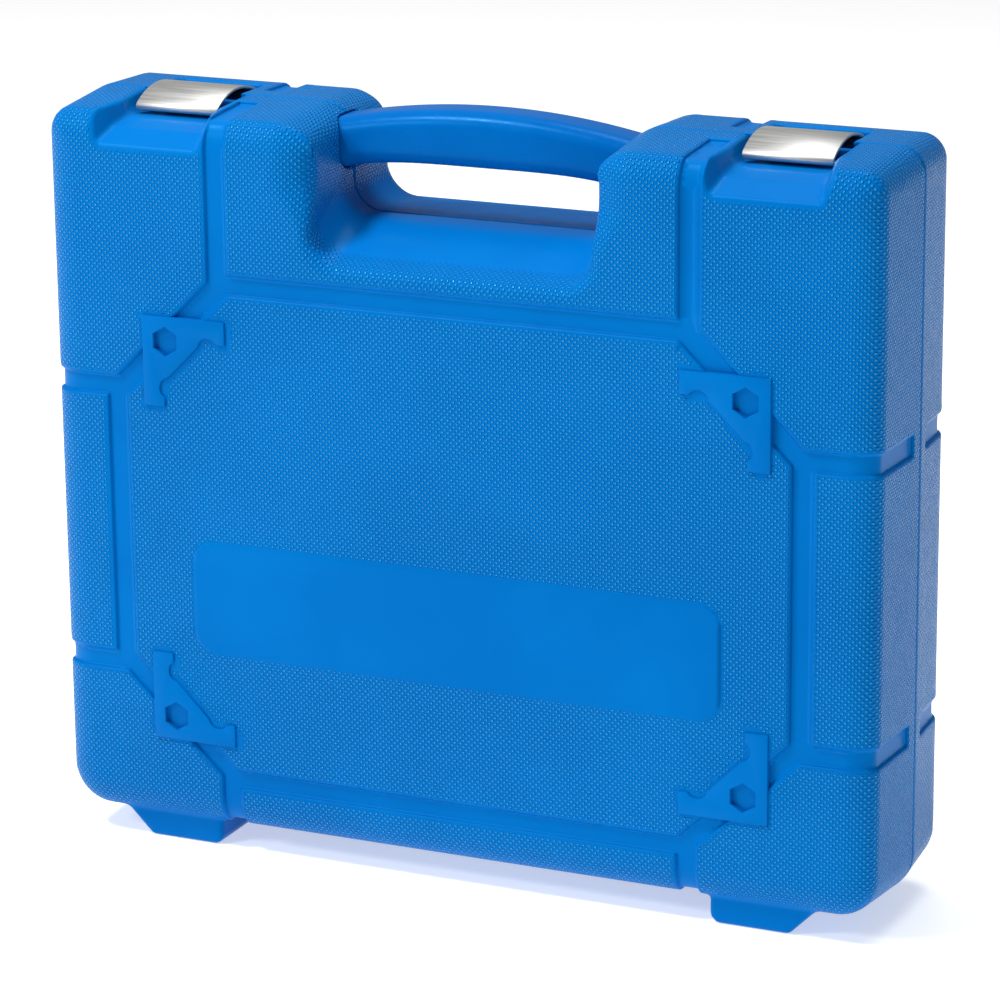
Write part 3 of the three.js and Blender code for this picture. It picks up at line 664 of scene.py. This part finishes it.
def case_half(half, x, t, z):
    """A half with its hollow, the lugs that clamp the handle, and the seat of its tray or liner."""
    outer = skin(half, x, t, z)
    hollow = maximum(outer + WALL, half.rim - t)
    lug_end = maximum(t - half.handle_reach - LUG.behind_handle, LUG.bottom - z)
    lug = maximum(abs(x - LUG.x) - LUG.half_width, lug_end)
    hollow = maximum(hollow, -lug)
    made = join_round(outer, foot(x, t, z), 1.5)
    if half.side < 0:
        made = maximum(made, -gusset_wells(half, x, t, z))
        made = join_round(made, blank_plate(half, x, t, z), 0.4)
        catch = maximum(abs(t - CATCH.t) - CATCH.half_depth, abs(z - CATCH.z) - CATCH.half_height)
        catch = maximum(abs(x - CATCH.x) - CATCH.half_width, catch)
        made = join_round(made, catch, 0.5)
    made = cut_round(made, -hollow, 1.0)
    made = maximum(made, GAP - handle_field(half, x, t, z))
    tray = tray_outline(x, z)
    made = maximum(made, -maximum(tray - GAP, t - half.rim + SEAT.sheet))
    made = maximum(made, -maximum(tray + SEAT.ledge, t - half.rim - 1))
    return cut_round(made, GAP / 2 - t, 0.5)


DOTS = Sizes(block_border=1.3, near_body=0.45, near_opening=0.6, steep=4, floor_start=6,
                       floor_depth=15, fading=16, recess_border=1.5, plate_border=0.8, parting_border=1)


def dotted_depth(half, x, t, z):
    """How far inside the lattice of dots a place on the outside lies, negative where it is smooth."""
    raised = minimum(blocks(x, z), collar(x, t, z))
    body = case_body(half, x, t, z)
    on_block = maximum(-DOTS.block_border - raised, COLLAR.width - t)
    made = minimum(on_block, DOTS.steep * (DOTS.near_body - abs(body)))
    wall = hand_opening(half, x, t, z)
    rounding = minimum(opening_edge(half, t, z) - wall, skin(half, x, t, z) + DOTS.near_opening)
    on_opening = DOTS.steep * maximum(DOTS.near_opening - abs(wall), rounding)
    fading = maximum(z - OPENING.floor - DOTS.floor_start, body + DOTS.floor_depth) / DOTS.fading
    made = maximum(made, minimum(on_opening, fading))
    made = minimum(made, minimum(latch_recess(half, x, t, z), foot(x, t, z)) - DOTS.recess_border)
    if half.side < 0:
        plates = minimum(gusset_outline(x, z, GUSSET), blank_plate(half, x, t, z))
        made = minimum(made, plates - DOTS.plate_border)
    return minimum(made, t - DOTS.parting_border)


STEP = 1.0  # between the sample points of a case half


def build_half(half):
    def field(x, t, z):
        return case_half(half, abs(x), t, z)

    def seen(x, y, z):
        return field(x, half.side * (y - PARTING_Y), z)

    high = (HALF_WIDTH, half.depth + GUSSET_PROUD, TOP)
    places, faces = skinned(field, (0, 0, 0), high, STEP, 0.03, mirror=True)
    mesh = mesh_of(half.node + "_moulded", placed(half, places), faces)
    own_normals(mesh, seen)
    x, t, z = places.T
    depth = dotted_depth(half, abs(x), t, z).astype(np.float32)
    mesh.attributes.new("dotted_depth", "FLOAT", "POINT").data.foreach_set("value", depth)
    finished(mesh, half.body, DOTTED, [half.node])


def placed(half, places):
    """Places drawn with t from the parting plane, in the frame of the row."""
    return places * [1, half.side, 1] + [0, PARTING_Y, 0]


# ---- Hinges
HINGE = Sizes(z=5.5, radius=3.5, bore=1.6, start=62.0, knuckle=13.5, step=14.25,
                        neck_top=BOTTOM + 2)


def knuckles(half):
    """The barrels of one half that the hinge pins run through, with the necks that carry them."""
    places = (0, 2) if half.side > 0 else (1,)

    def field(x, t, z):
        made = np.inf
        for i in places:
            middle = HINGE.start + i * HINGE.step + HINGE.knuckle / 2
            within = abs(x - middle) - HINGE.knuckle / 2
            barrel = hypot(t, z - HINGE.z) - HINGE.radius
            upright = maximum(HINGE.z - z, z - HINGE.neck_top)
            neck = maximum(maximum(GAP / 2 - t, t - HINGE.radius), upright)
            made = minimum(made, cut_round(join_round(barrel, neck, 0.8), within, 0.5))
        return maximum(made, HINGE.bore - hypot(t, z - HINGE.z))

    end = HINGE.start + 2 * HINGE.step + HINGE.knuckle
    low, high = (0, -HINGE.radius, HINGE.z - HINGE.radius), (end, HINGE.radius, HINGE.neck_top)
    places_found, faces = skinned(field, low, high, 0.4, 0.01, mirror=True)
    mesh = mesh_of(half.body + "_knuckles", placed(half, places_found), faces)
    finished(mesh, half.body, SMOOTH_CASE)


def pin(node):
    box = box_of(node)
    radius, length, chamfer = box.size[2] / 2, box.size[0], 0.4
    rings = [(0, radius * 0.7), (chamfer, radius), (length - chamfer, radius),
             (length, radius * 0.7)]
    turned(node, "x", rings, 0.15, DARK_STEEL)


# ---- Corner plates
RIM_START, RIM_MIDDLE, RIM_END = (0, 0.35), (0.12, 0.1), (0.35, 0)  # moved inwards, and behind the front
RECESS_RIM = 0.3


def moved_in(corners, distance):
    """An anticlockwise outline with every side moved inwards."""
    points = np.array(corners, float)
    ahead, behind = np.roll(points, -1, 0) - points, points - np.roll(points, 1, 0)
    inward = [np.stack([-way[:, 1], way[:, 0]], 1) / np.linalg.norm(way, axis=1, keepdims=True)
              for way in (ahead, behind)]
    both = inward[0] + inward[1]
    return points + distance * both / maximum(1 + (inward[0] * inward[1]).sum(1, keepdims=True), 0.3)


def anticlockwise(corners):
    u, v = np.array(corners).T
    turns_left = (u * np.roll(v, -1) - v * np.roll(u, -1)).sum() > 0
    return corners if turns_left else corners[::-1]


def corner_plate(mirror_x, mirror_z):
    """Points and triangles of one plate with hooked arms and a hexagonal recess."""
    plate, recess = anticlockwise(GUSSET), anticlockwise(GUSSET_HEXAGON)
    front = LID.depth + GUSSET_PROUD
    rim = [(moved_in(plate, inwards), front - behind) for inwards, behind in (RIM_START, RIM_MIDDLE, RIM_END)]
    loops = [
        (plate, front - GUSSET_RECESS - 1), *rim,
        (moved_in(recess, -RECESS_RIM), front), (recess, front - RECESS_RIM), (recess, front - GUSSET_RECESS),
    ]
    points, starts, triangles = [], [], []
    for corners, t in loops:
        u, v = np.array(corners).T
        x = mirror_x * (GUSSET_CORNER[0] - u)
        z = PANEL_MIDDLE + mirror_z * (GUSSET_CORNER[1] - PANEL_MIDDLE - v)
        starts.append(sum(map(len, points)))
        points.append(np.stack([x, np.full(len(u), PARTING_Y - t), z], 1))
    for first in (0, 1, 2, 4, 5):
        i = np.arange(len(points[first]))
        j = (i + 1) % len(i)
        a, b = starts[first], starts[first + 1]
        triangles += [np.stack([i + a, j + a, j + b], 1), np.stack([i + a, j + b, i + b], 1)]
    for filled in ((0,), (3, 4), (6,)):
        rims = [[Vector((u, v, 0)) for u, v in loops[ring][0]] for ring in filled]
        index = np.concatenate([starts[ring] + np.arange(len(rim)) for ring, rim in zip(filled, rims)])
        triangles.append(index[np.array(tessellate_polygon(rims))])
    return np.concatenate(points), np.concatenate(triangles)


def corner_plates():
    """The four corner plates, set into the lid's front."""
    parts = [corner_plate(mirror_x, mirror_z) for mirror_x in (1, -1) for mirror_z in (1, -1)]
    points = np.concatenate([part[0] for part in parts])
    triangles = np.concatenate([part[1] + i * len(part[0]) for i, part in enumerate(parts)])
    mesh = mesh_of("corner_plates", points, [triangles])
    shape = bmesh.new()
    shape.from_mesh(mesh)
    bmesh.ops.recalc_face_normals(shape, faces=shape.faces)
    shape.to_mesh(mesh)
    shape.free()
    mesh.set_sharp_from_angle(angle=radians(30))
    finished(mesh, "lid", SMOOTH_CASE)


# ---- Handle and latches
def carry_handle():
    """A bar of rounded section that thickens towards its ends, where the case halves clamp it."""
    rings = []
    for x in np.linspace(-HANDLE.end, HANDLE.end, 109):
        bottom, top = handle_section(x)
        r = HANDLE.corner
        front, back = HANDLE.middle - HANDLE.half_depth + r, HANDLE.middle + HANDLE.half_depth - r
        corners = ((back, top - r, 0), (front, top - r, 90),
                   (front, bottom + r, 180), (back, bottom + r, 270))
        loop = [point for y, z, angle in corners for point in arc(y, z, r, angle, angle + 90, 10)]
        rings.append([(x, PARTING_Y + y, z) for y, z in loop])
    finished(mesh_of("carry_handle_moulded", *skin_over(rings), 50), "base", HANDLE_PLASTIC, ["carry_handle"])


LEVER = Sizes(sheet=1.3, curl=2.5, curl_angles=(205, 421), crown=(-1.5, 351.6), lip=(-18.3, 341.0),
                        roll=1.45, roll_turn=250)
CLAW = Sizes(sheet=1.5, bend=1.2, root=5.0, hook=3.8)


def latch_lever(side):
    """A plate curled round its pin, arched over the notch and rolled under along its front edge."""
    hub = box_of(f"latch_{side}_pin").middle[1:]
    path = arc(*hub, LEVER.curl, *LEVER.curl_angles, 18)
    start = np.array(path[-1])
    crown, lip = [np.array([PARTING_Y + y, z]) for y, z in (LEVER.crown, LEVER.lip)]
    for share in np.linspace(0, 1, 25)[1:]:
        path.append(tuple(curve(start, crown, lip, share)))
    heading = (lip - crown) / np.linalg.norm(lip - crown)
    centre = lip + LEVER.roll * np.array([-heading[1], heading[0]])
    first = math.degrees(math.atan2(lip[1] - centre[1], lip[0] - centre[0]))
    path += arc(*centre, LEVER.roll, first, first + LEVER.roll_turn, 14)[1:]
    ribbon(f"latch_{side}_lever", "plate", path, LEVER.sheet, f"latch_{side}")


def latch_claw(side):
    """The hook under the lever that catches the lid's rib."""
    node = f"latch_{side}_claw"
    box, bend = box_of(node), CLAW.bend
    back, front = box.high[1], box.low[1] + CLAW.sheet / 2
    top, bottom = box.high[2] - CLAW.sheet / 2, box.low[2] + CLAW.sheet / 2
    path = [(back, top), (back - CLAW.root, top), *arc(front + bend, top - bend, bend, 90, 180, 5),
            *arc(front + bend, bottom + bend, bend, 180, 270, 5), (front + CLAW.hook, bottom)]
    ribbon(node, "hook", path, CLAW.sheet, f"latch_{side}")


# ---- Tray in the base and liner in the lid
def nodes_ending(*endings):
    return sorted(name for name in frame["nodes"] if name.endswith(endings))


TRAVEL = next(joint for joint in frame["record"]["behaviour"]["joints"]
              if joint["name"] == "t_bar_slide")["range_m"][1] / MM
DECK = box_of("tool_tray").low[1] - PARTING_Y
POCKET = Sizes(margin=1.7, slope=11, floor_gap=0.7, corner=4.0)
TRAY_SHEET = 1.5
LINER = Sizes(near=2.0, sheet=1.1, border=14.0, sink=0.8, bead=0.6, bead_step=24.0)
SOCKETS = sorted(name for name in frame["nodes"] if "_inch_socket_" in name)
EXTENSIONS = nodes_ending("_extension", "_extension_long", "_extension_short")
BITS = sorted(name for name in frame["nodes"] if name.startswith("bit_"))
BARS = [*EXTENSIONS, "spark_plug_socket", "spinner_grip", "spinner_shank", "t_bar_rod", "t_bar_head", *BITS]


def round_pocket(x, z, middle, radius):
    return hypot(x - middle[0], z - middle[2]) - radius


def long_pocket(x, z, low, high):
    middle, half_size = (low + high) / 2, (high - low) / 2
    return cut_round(abs(x - middle[0]) - half_size[0], abs(z - middle[2]) - half_size[2], POCKET.corner)


def pockets(x, z):
    """Each tool's recess in the tray: the distance to its outline, and how far back the tool reaches."""
    found = []
    for name in SOCKETS:
        box = box_of(name)
        found.append((round_pocket(x, z, box.middle, box.size[0] / 2 + 0.2), box.high[1]))
    for name in nodes_ending("_ratchet_drive"):
        box, body, grip = [box_of(name.replace("drive", part)) for part in ("drive", "body", "grip")]
        found.append((round_pocket(x, z, box.middle, body.size[2] / 2), box.high[1]))
        low = np.array([box.middle[0], grip.low[1], grip.low[2]])
        found.append((long_pocket(x, z, low, grip.high), grip.high[1]))
    for name in BARS:
        box = box_of(name)
        if name == "t_bar_head":
            box.high[0] += TRAVEL
        found.append((long_pocket(x, z, box.low, box.high), box.high[1]))
    return found


def tray_front(x, z):
    made = np.full(x.shape, DECK)
    for away, depth in pockets(x, z):
        floor = depth - PARTING_Y + POCKET.floor_gap
        wall = DECK + (POCKET.margin - away) * POCKET.slope
        made = maximum(made, minimum(floor, wall))
    return made


def liner_front(x, z):
    """A flat border round a slightly sunk field with shallow upright beads."""
    inside = -tray_outline(abs(x), z)
    sunk = LINER.near + LINER.sink * ease(inside, LINER.border - 1, LINER.border + 1)
    beads = 0.5 + 0.5 * np.cos(x * 2 * pi / LINER.bead_step)
    return sunk - LINER.bead * ease(beads, 0.6, 0.95) * ease(inside, LINER.border + 8, LINER.border + 14)


def thinned(mesh, ratio):
    """The mesh with its flat stretches merged."""
    carrier = bpy.data.objects.new("carrier", mesh)
    add_to_scene(carrier)
    carrier.modifiers.new("thin", "DECIMATE").ratio = ratio
    made = bpy.data.meshes.new_from_object(carrier.evaluated_get(bpy.context.evaluated_depsgraph_get()))
    bpy.data.objects.remove(carrier)
    made.shade_smooth()
    made.set_sharp_from_angle(angle=radians(50))
    return made


def tool_tray():
    mesh = thinned(sheet("tool_tray_sheet", 1.25, tray_front, TRAY_SHEET, 1), 0.35)
    mesh.name = "tool_tray_formed"
    finished(mesh, "base", TRAY_PLASTIC, ["tool_tray"])


def lid_liner():
    mesh = sheet("lid_liner_formed", 2.4, liner_front, LINER.sheet, -1)
    finished(mesh, "lid", TRAY_PLASTIC, ["lid_liner"])


# ---- Tools
HALF_INCH, QUARTER_INCH = 12.7, 6.35
HEAD = 19.0  # radius of the half inch ratchet's head, which a ratchet's details are drawn for


def drive_size(name):
    return HALF_INCH if name.startswith(("half", "t_bar", "spark")) else QUARTER_INCH


def socket(node):
    """A hexagon mouth and a square drive hole, joined by a bore through the waist."""
    size, length, across = int(node.rsplit("_", 1)[1]), box_of(node).size[1], drive_size(node)
    drive = 11.0 if across == HALF_INCH else 6.0
    mouth = max(size * 0.5774 + 3.2, drive * 0.72)
    bore, band = min(across, size) * 0.4, length * 0.68
    rings = [
        (0, hexagon(size) + 0.5), (0, mouth), (length * 0.45, mouth),
        (length * 0.58, drive), (band, drive), (band + 0.6, drive - 0.5),
        (band + 3, drive - 0.5), (band + 3.6, drive), (length, drive),
        (length, square(across)), (length * 0.6, square(across)), (length * 0.6, bore),
        (length * 0.45, bore), (length * 0.45, hexagon(size)), (0.6, hexagon(size)),
    ]
    turned(node, "y", rings, 0.45, CHROME, closed=True)


def extension(node):
    """A bar with a square hole in one end and a square on the other."""
    size, across = box_of(node).size, drive_size(node)
    axis = "x" if size[0] > size[2] else "z"
    length = max(size[0], size[2])
    end = size[1] / 2
    shaft = 7.5 if across == HALF_INCH else 3.6
    neck, collar_end = length - across * 1.2, end * 2.2
    rings = [
        (across * 1.2, square(across)), (0, square(across)), (0, end), (collar_end, end),
        (collar_end + end * 0.8, shaft), (neck - end * 1.4, shaft),
        (neck - end * 1.1, end * 0.85), (neck - end * 0.4, end * 0.85),
        (neck, across * 0.72), (neck + 0.3, square(across)), (length, square(across)),
    ]
    turned(node, axis, rings, 0.6, CHROME)


def ratchet_body(prefix, head, scale, hole):
    """A round head that runs into a forged shank."""
    body, drive, grip = [box_of(f"{prefix}_{part}") for part in ("body", "drive", "grip")]
    radius, thick, inside_grip = body.size[2] / 2, body.size[1] / 2, grip.low[0] + 8

    def field(x, y, z):
        away = hypot(x - head[0], z - head[2])
        disc = cut_round(away - radius, abs(y - body.middle[1]) - thick, 2.6 * scale)
        share = ease(x, head[0] + radius * 0.6, head[0] + radius * 3.2)
        wide, deep = (12.5 - 5.7 * share) * scale, (6.2 + 0.5 * share) * scale
        shank = (hypot((y - body.middle[1]) / deep, (z - head[2]) / wide) - 1) * deep
        shank = maximum(shank, maximum(head[0] - x, x - inside_grip))
        made = join_round(disc, shank, 5 * scale)
        rim = abs(away - radius * 0.8) - 0.5 * scale
        made = maximum(made, -maximum(rim, y - body.low[1] - 0.6 * scale))
        made = cut_round(made, -maximum(away - hole, y - body.low[1] - 5.5 * scale), 0.5 * scale)
        well = maximum(away - drive.size[0] / 2 - GAP, body.high[1] - 4 * scale - y)
        return cut_round(made, -well, 0.5 * scale)

    high = (inside_grip, body.high[1], body.high[2])
    forged(prefix + "_forged", field, body.low, high, 0.75 * max(scale, 0.7), "base", prefix + "_body")


def ratchet_grip(prefix, head):
    """A swelling grip with twelve flutes."""
    node = prefix + "_grip"
    box, body = box_of(node), box_of(prefix + "_body")
    length, rings = box.size[0], []
    for station in np.linspace(0, length, 60):
        swell = np.interp(station, [0, 1.5, 5, 20, length * 0.58, length - 2, length],
                          [0.72, 0.84, 1, 0.86, 1, 0.9, 0.8])
        flutes = ease(station, 22, 30) * (1 - ease(station, length - 18, length - 10))
        share = swell - 0.07 * flutes * (0.5 + 0.5 * np.cos(12 * ANGLES)) ** 2
        rings.append((station, box.size[2] / 2 * share))
    lofted(node, "moulded", (box.low[0], body.middle[1], head[2]), rings)


def ratchet(prefix):
    """A ratchet's body and grip with its button, reversing lever and square drive."""
    head = box_of(prefix + "_drive").middle
    scale = box_of(prefix + "_body").size[2] / 2 / HEAD
    hole = 4.4 * scale
    ratchet_body(prefix, head, scale, hole)
    ratchet_grip(prefix, head)

    button = box_of(prefix + "_button").size
    size = button[0] / 2
    rings = [(0, size * 0.5), (0.3 * scale, size * 0.82), (1.1 * scale, size),
             (button[1], size)]
    turned(prefix + "_button", "y", rings, 0.2, LATCH_STEEL, prefix + "_button")

    lever = box_of(prefix + "_lever")
    off = (ANGLES - radians(108) + pi) % (2 * pi) - pi
    ahead = np.where(abs(off) < pi / 2, 1.0, 1e-3)
    tab = minimum(14 * scale * ahead, 2.3 * scale / maximum(abs(np.sin(off)), 1e-3) * ahead)
    plate = maximum(tab, 8 * scale)
    rings = [(0, hole), (0, plate), (lever.size[1], plate), (lever.size[1], hole)]
    start = (head[0], lever.low[1], head[2])
    turned(prefix + "_lever", "y", rings, 0.35 * scale, DARK_STEEL, prefix + "_lever", True, start, "plate")

    drive, across, flange = box_of(prefix + "_drive").size, drive_size(prefix), 4 * scale
    rings = [(0, drive[0] / 2), (flange, drive[0] / 2), (flange, square(across)),
             (drive[1] - 0.5, square(across)), (drive[1], square(across) * 0.9)]
    turned(prefix + "_drive", "y", rings, 0.35 * scale, CHROME, prefix + "_drive")


def spark_plug_socket():
    """A deep socket whose ring grips the plug, with a hexagon outside at its drive end."""
    size = box_of("spark_plug_socket").size
    radius, length = size[2] / 2, size[0]
    outside = hexagon(radius * 1.73, 1.15)
    rings = [
        (0, square(HALF_INCH)), (0, outside), (17, outside), (19, radius), (length, radius),
        (length, hexagon(20.8)), (length - 1, hexagon(20.4)), (20, hexagon(20.4)), (20, 4),
        (16, 4), (16, square(HALF_INCH)),
    ]
    turned("spark_plug_socket", "x", rings, 0.5, CHROME, closed=True)
    size = box_of("spark_plug_grip_ring").size
    radius, length, hole = size[2] / 2, size[0], 6.5
    rings = [(0, hole), (0, radius), (length, radius), (length, hole)]
    turned("spark_plug_grip_ring", "x", rings, 0.8, RUBBER, closed=True, ending="moulded")


def spinner():
    """A six-lobed grip and its square-ended shank."""
    box = box_of("spinner_grip")
    length, rings = box.size[0], []
    for station in np.linspace(0, length, 70):
        outer = np.interp(station, [0, 1.5, 6, 55, 72, 80, length - 1, length],
                          [7.5, 9, 13, 13, 9, 10.5, 9, 8])
        lobes = ease(station, 5, 12) * (1 - ease(station, 52, 62))
        share = 1 - 0.11 * lobes * (0.5 + 0.5 * np.cos(6 * ANGLES)) ** 3
        rings.append((station, outer * box.size[2] / 2 / 13 * share))
    lofted("spinner_grip", "moulded", (box.low[0], *box.middle[1:]), rings)
    length, across = box_of("spinner_shank").size[0], square(QUARTER_INCH)
    rings = [(0, 3), (0.5, 3.6), (length - 11, 3.6), (length - 10.5, across),
             (length - 0.5, across), (length, across * 0.88)]
    turned("spinner_shank", "x", rings, 0.3, CHROME)


def t_bar():
    """A rod grooved near its ends, and the head that slides along it."""
    rod, head = box_of("t_bar_rod"), box_of("t_bar_head")
    radius, length, stop = rod.size[2] / 2, rod.size[0], 6.0
    full, grooved = radius, radius - 0.6
    rings = [(0, radius * 0.8), (1, full), (stop, full), (stop + 0.4, grooved), (stop + 1.8, grooved),
             (stop + 2.2, full)]
    rings += [(length - station, radii) for station, radii in reversed(rings)]
    turned("t_bar_rod", "x", rings, 0.3, CHROME)

    def field(x, y, z):
        away = hypot(x - head.middle[0], z - head.middle[2])
        barrel = cut_round(away - head.size[0] / 2, abs(y - rod.middle[1]) - 10, 1.2)
        half = HALF_INCH / 2
        bar = cut_round(abs(x - head.middle[0]) - half, abs(z - head.middle[2]) - half, 0.9)
        bar = cut_round(bar, maximum(rod.middle[1] - y, y - head.high[1]), 0.9)
        made = join_round(barrel, bar, 0.5)
        return cut_round(made, radius + GAP - hypot(y - rod.middle[1], z - head.middle[2]), 0.5)

    forged("t_bar_head_forged", field, head.low, head.high, 0.5, "t_bar_head", "t_bar_head")


def bit(node, tip):
    """A hexagon shank, a round neck and a tip of its own section."""
    length, shank = box_of(node).size[2], hexagon(6.2)
    rings = [(0, shank * 0.85), (0.6, shank), (15, shank), (16.5, 2.2), (length - 6, 2.2),
             (length - 3.5, tip), (length - 0.4, tip), (length, tip * 0.8)]
    turned(node, "z", rings, 0.2, DARK_STEEL)


def cross_tip(arms, depth):
    return 2.1 * (1 - depth * (0.5 - 0.5 * np.cos(arms * ANGLES)))


for half in (LID, BASE):
    build_half(half)
corner_plates()
for half in (LID, BASE):
    knuckles(half)
for name in ("hinge_pin_left", "hinge_pin_right", "latch_left_pin", "latch_right_pin"):
    pin(name)
carry_handle()
for side in ("left", "right"):
    latch_lever(side)
    latch_claw(side)
tool_tray()
lid_liner()
for name in SOCKETS:
    socket(name)
for name in EXTENSIONS:
    extension(name)
for name in ("half_inch_ratchet", "quarter_inch_ratchet"):
    ratchet(name)
spark_plug_socket()
spinner()
t_bar()
TIPS = (cross_tip(4, 0.45), cross_tip(6, 0.2), hexagon(3.6), square(3.0), cross_tip(2, 0.75))
for name, tip in zip(BITS, TIPS):
    bit(name, tip)


# ---- Camera, floor and light
def aim(obj, place, target):
    obj.location = place
    obj.rotation_euler = (Vector(target) - Vector(place)).to_track_quat("-Z", "Y").to_euler()


VIEW = Sizes(turns=(24.5509, 16.2698, -0.5533), place=(0.7609, -1.6573, 0.70168), lens=152.53,
                       sensor=36, farthest=20)
LIGHTS = (  # name, place, target, size and power
    ("key", (-1.4, -1.6, 1.5), (0, 0, 0.17), (0.5, 0.5), 18),
    ("top", (0.2, 0.2, 2.2), (0, 0, 0.2), (1.5, 0.7), 24),
    ("sheen", (-0.9, -0.75, 2.1), (0, 0, 0.25), (0.4, 0.3), 36),
)
SURROUNDING_LIGHT = 0.22
FLOOR_REACH = 8


def camera():
    """A long lens from the lid's right-hand side, a little above."""
    azimuth, elevation, roll = map(radians, VIEW.turns)
    data = bpy.data.cameras.new("camera")
    made = bpy.data.objects.new("camera", data)
    add_to_scene(made)
    back = Vector((math.sin(azimuth) * math.cos(elevation), -math.cos(azimuth) * math.cos(elevation),
                   math.sin(elevation)))
    right = Vector((math.cos(azimuth), math.sin(azimuth), 0))
    up = back.cross(right)
    rolled_right = right * math.cos(roll) + up * math.sin(roll)
    rolled_up = -right * math.sin(roll) + up * math.cos(roll)
    made.matrix_world = Matrix.Translation(VIEW.place) @ Matrix(
        (rolled_right, rolled_up, back)).transposed().to_4x4()
    data.lens = VIEW.lens
    data.sensor_width = VIEW.sensor
    data.clip_end = VIEW.farthest
    bpy.context.scene.camera = made


def area_light(name, place, target, size, power):
    data = bpy.data.lights.new(name, "AREA")
    data.shape = "RECTANGLE"
    data.size, data.size_y = size
    data.energy = power
    made = bpy.data.objects.new(name, data)
    add_to_scene(made)
    aim(made, place, target)


def studio():
    floor_mesh = bpy.data.meshes.new("floor")
    corners = [(x * FLOOR_REACH, y * FLOOR_REACH, 0) for x, y in ((-1, -1), (1, -1), (1, 1), (-1, 1))]
    floor_mesh.from_pydata(corners, [], [(0, 1, 2, 3)])
    floor = bpy.data.objects.new("floor", floor_mesh)
    add_to_scene(floor)
    paper = Shading("floor_paper", Roughness=0.9, Specular_IOR_Level=0.1, Emission_Color=(1, 1, 1, 1),
                    Emission_Strength=0.5)
    paper.colour(paper.blend_colour(paper.noise(3, 2), linear(250, 250, 250), linear(246, 247, 247)))
    floor_mesh.materials.append(paper.material)
    world = bpy.data.worlds.new("studio")
    bpy.context.scene.world = world
    world.use_nodes = True
    background = world.node_tree.nodes["Background"]
    background.inputs["Color"].default_value = (1, 1, 1, 1)
    background.inputs["Strength"].default_value = SURROUNDING_LIGHT
    for light in LIGHTS:
        area_light(*light)


camera()
studio()
bpy.context.scene.view_settings.view_transform = "Standard"
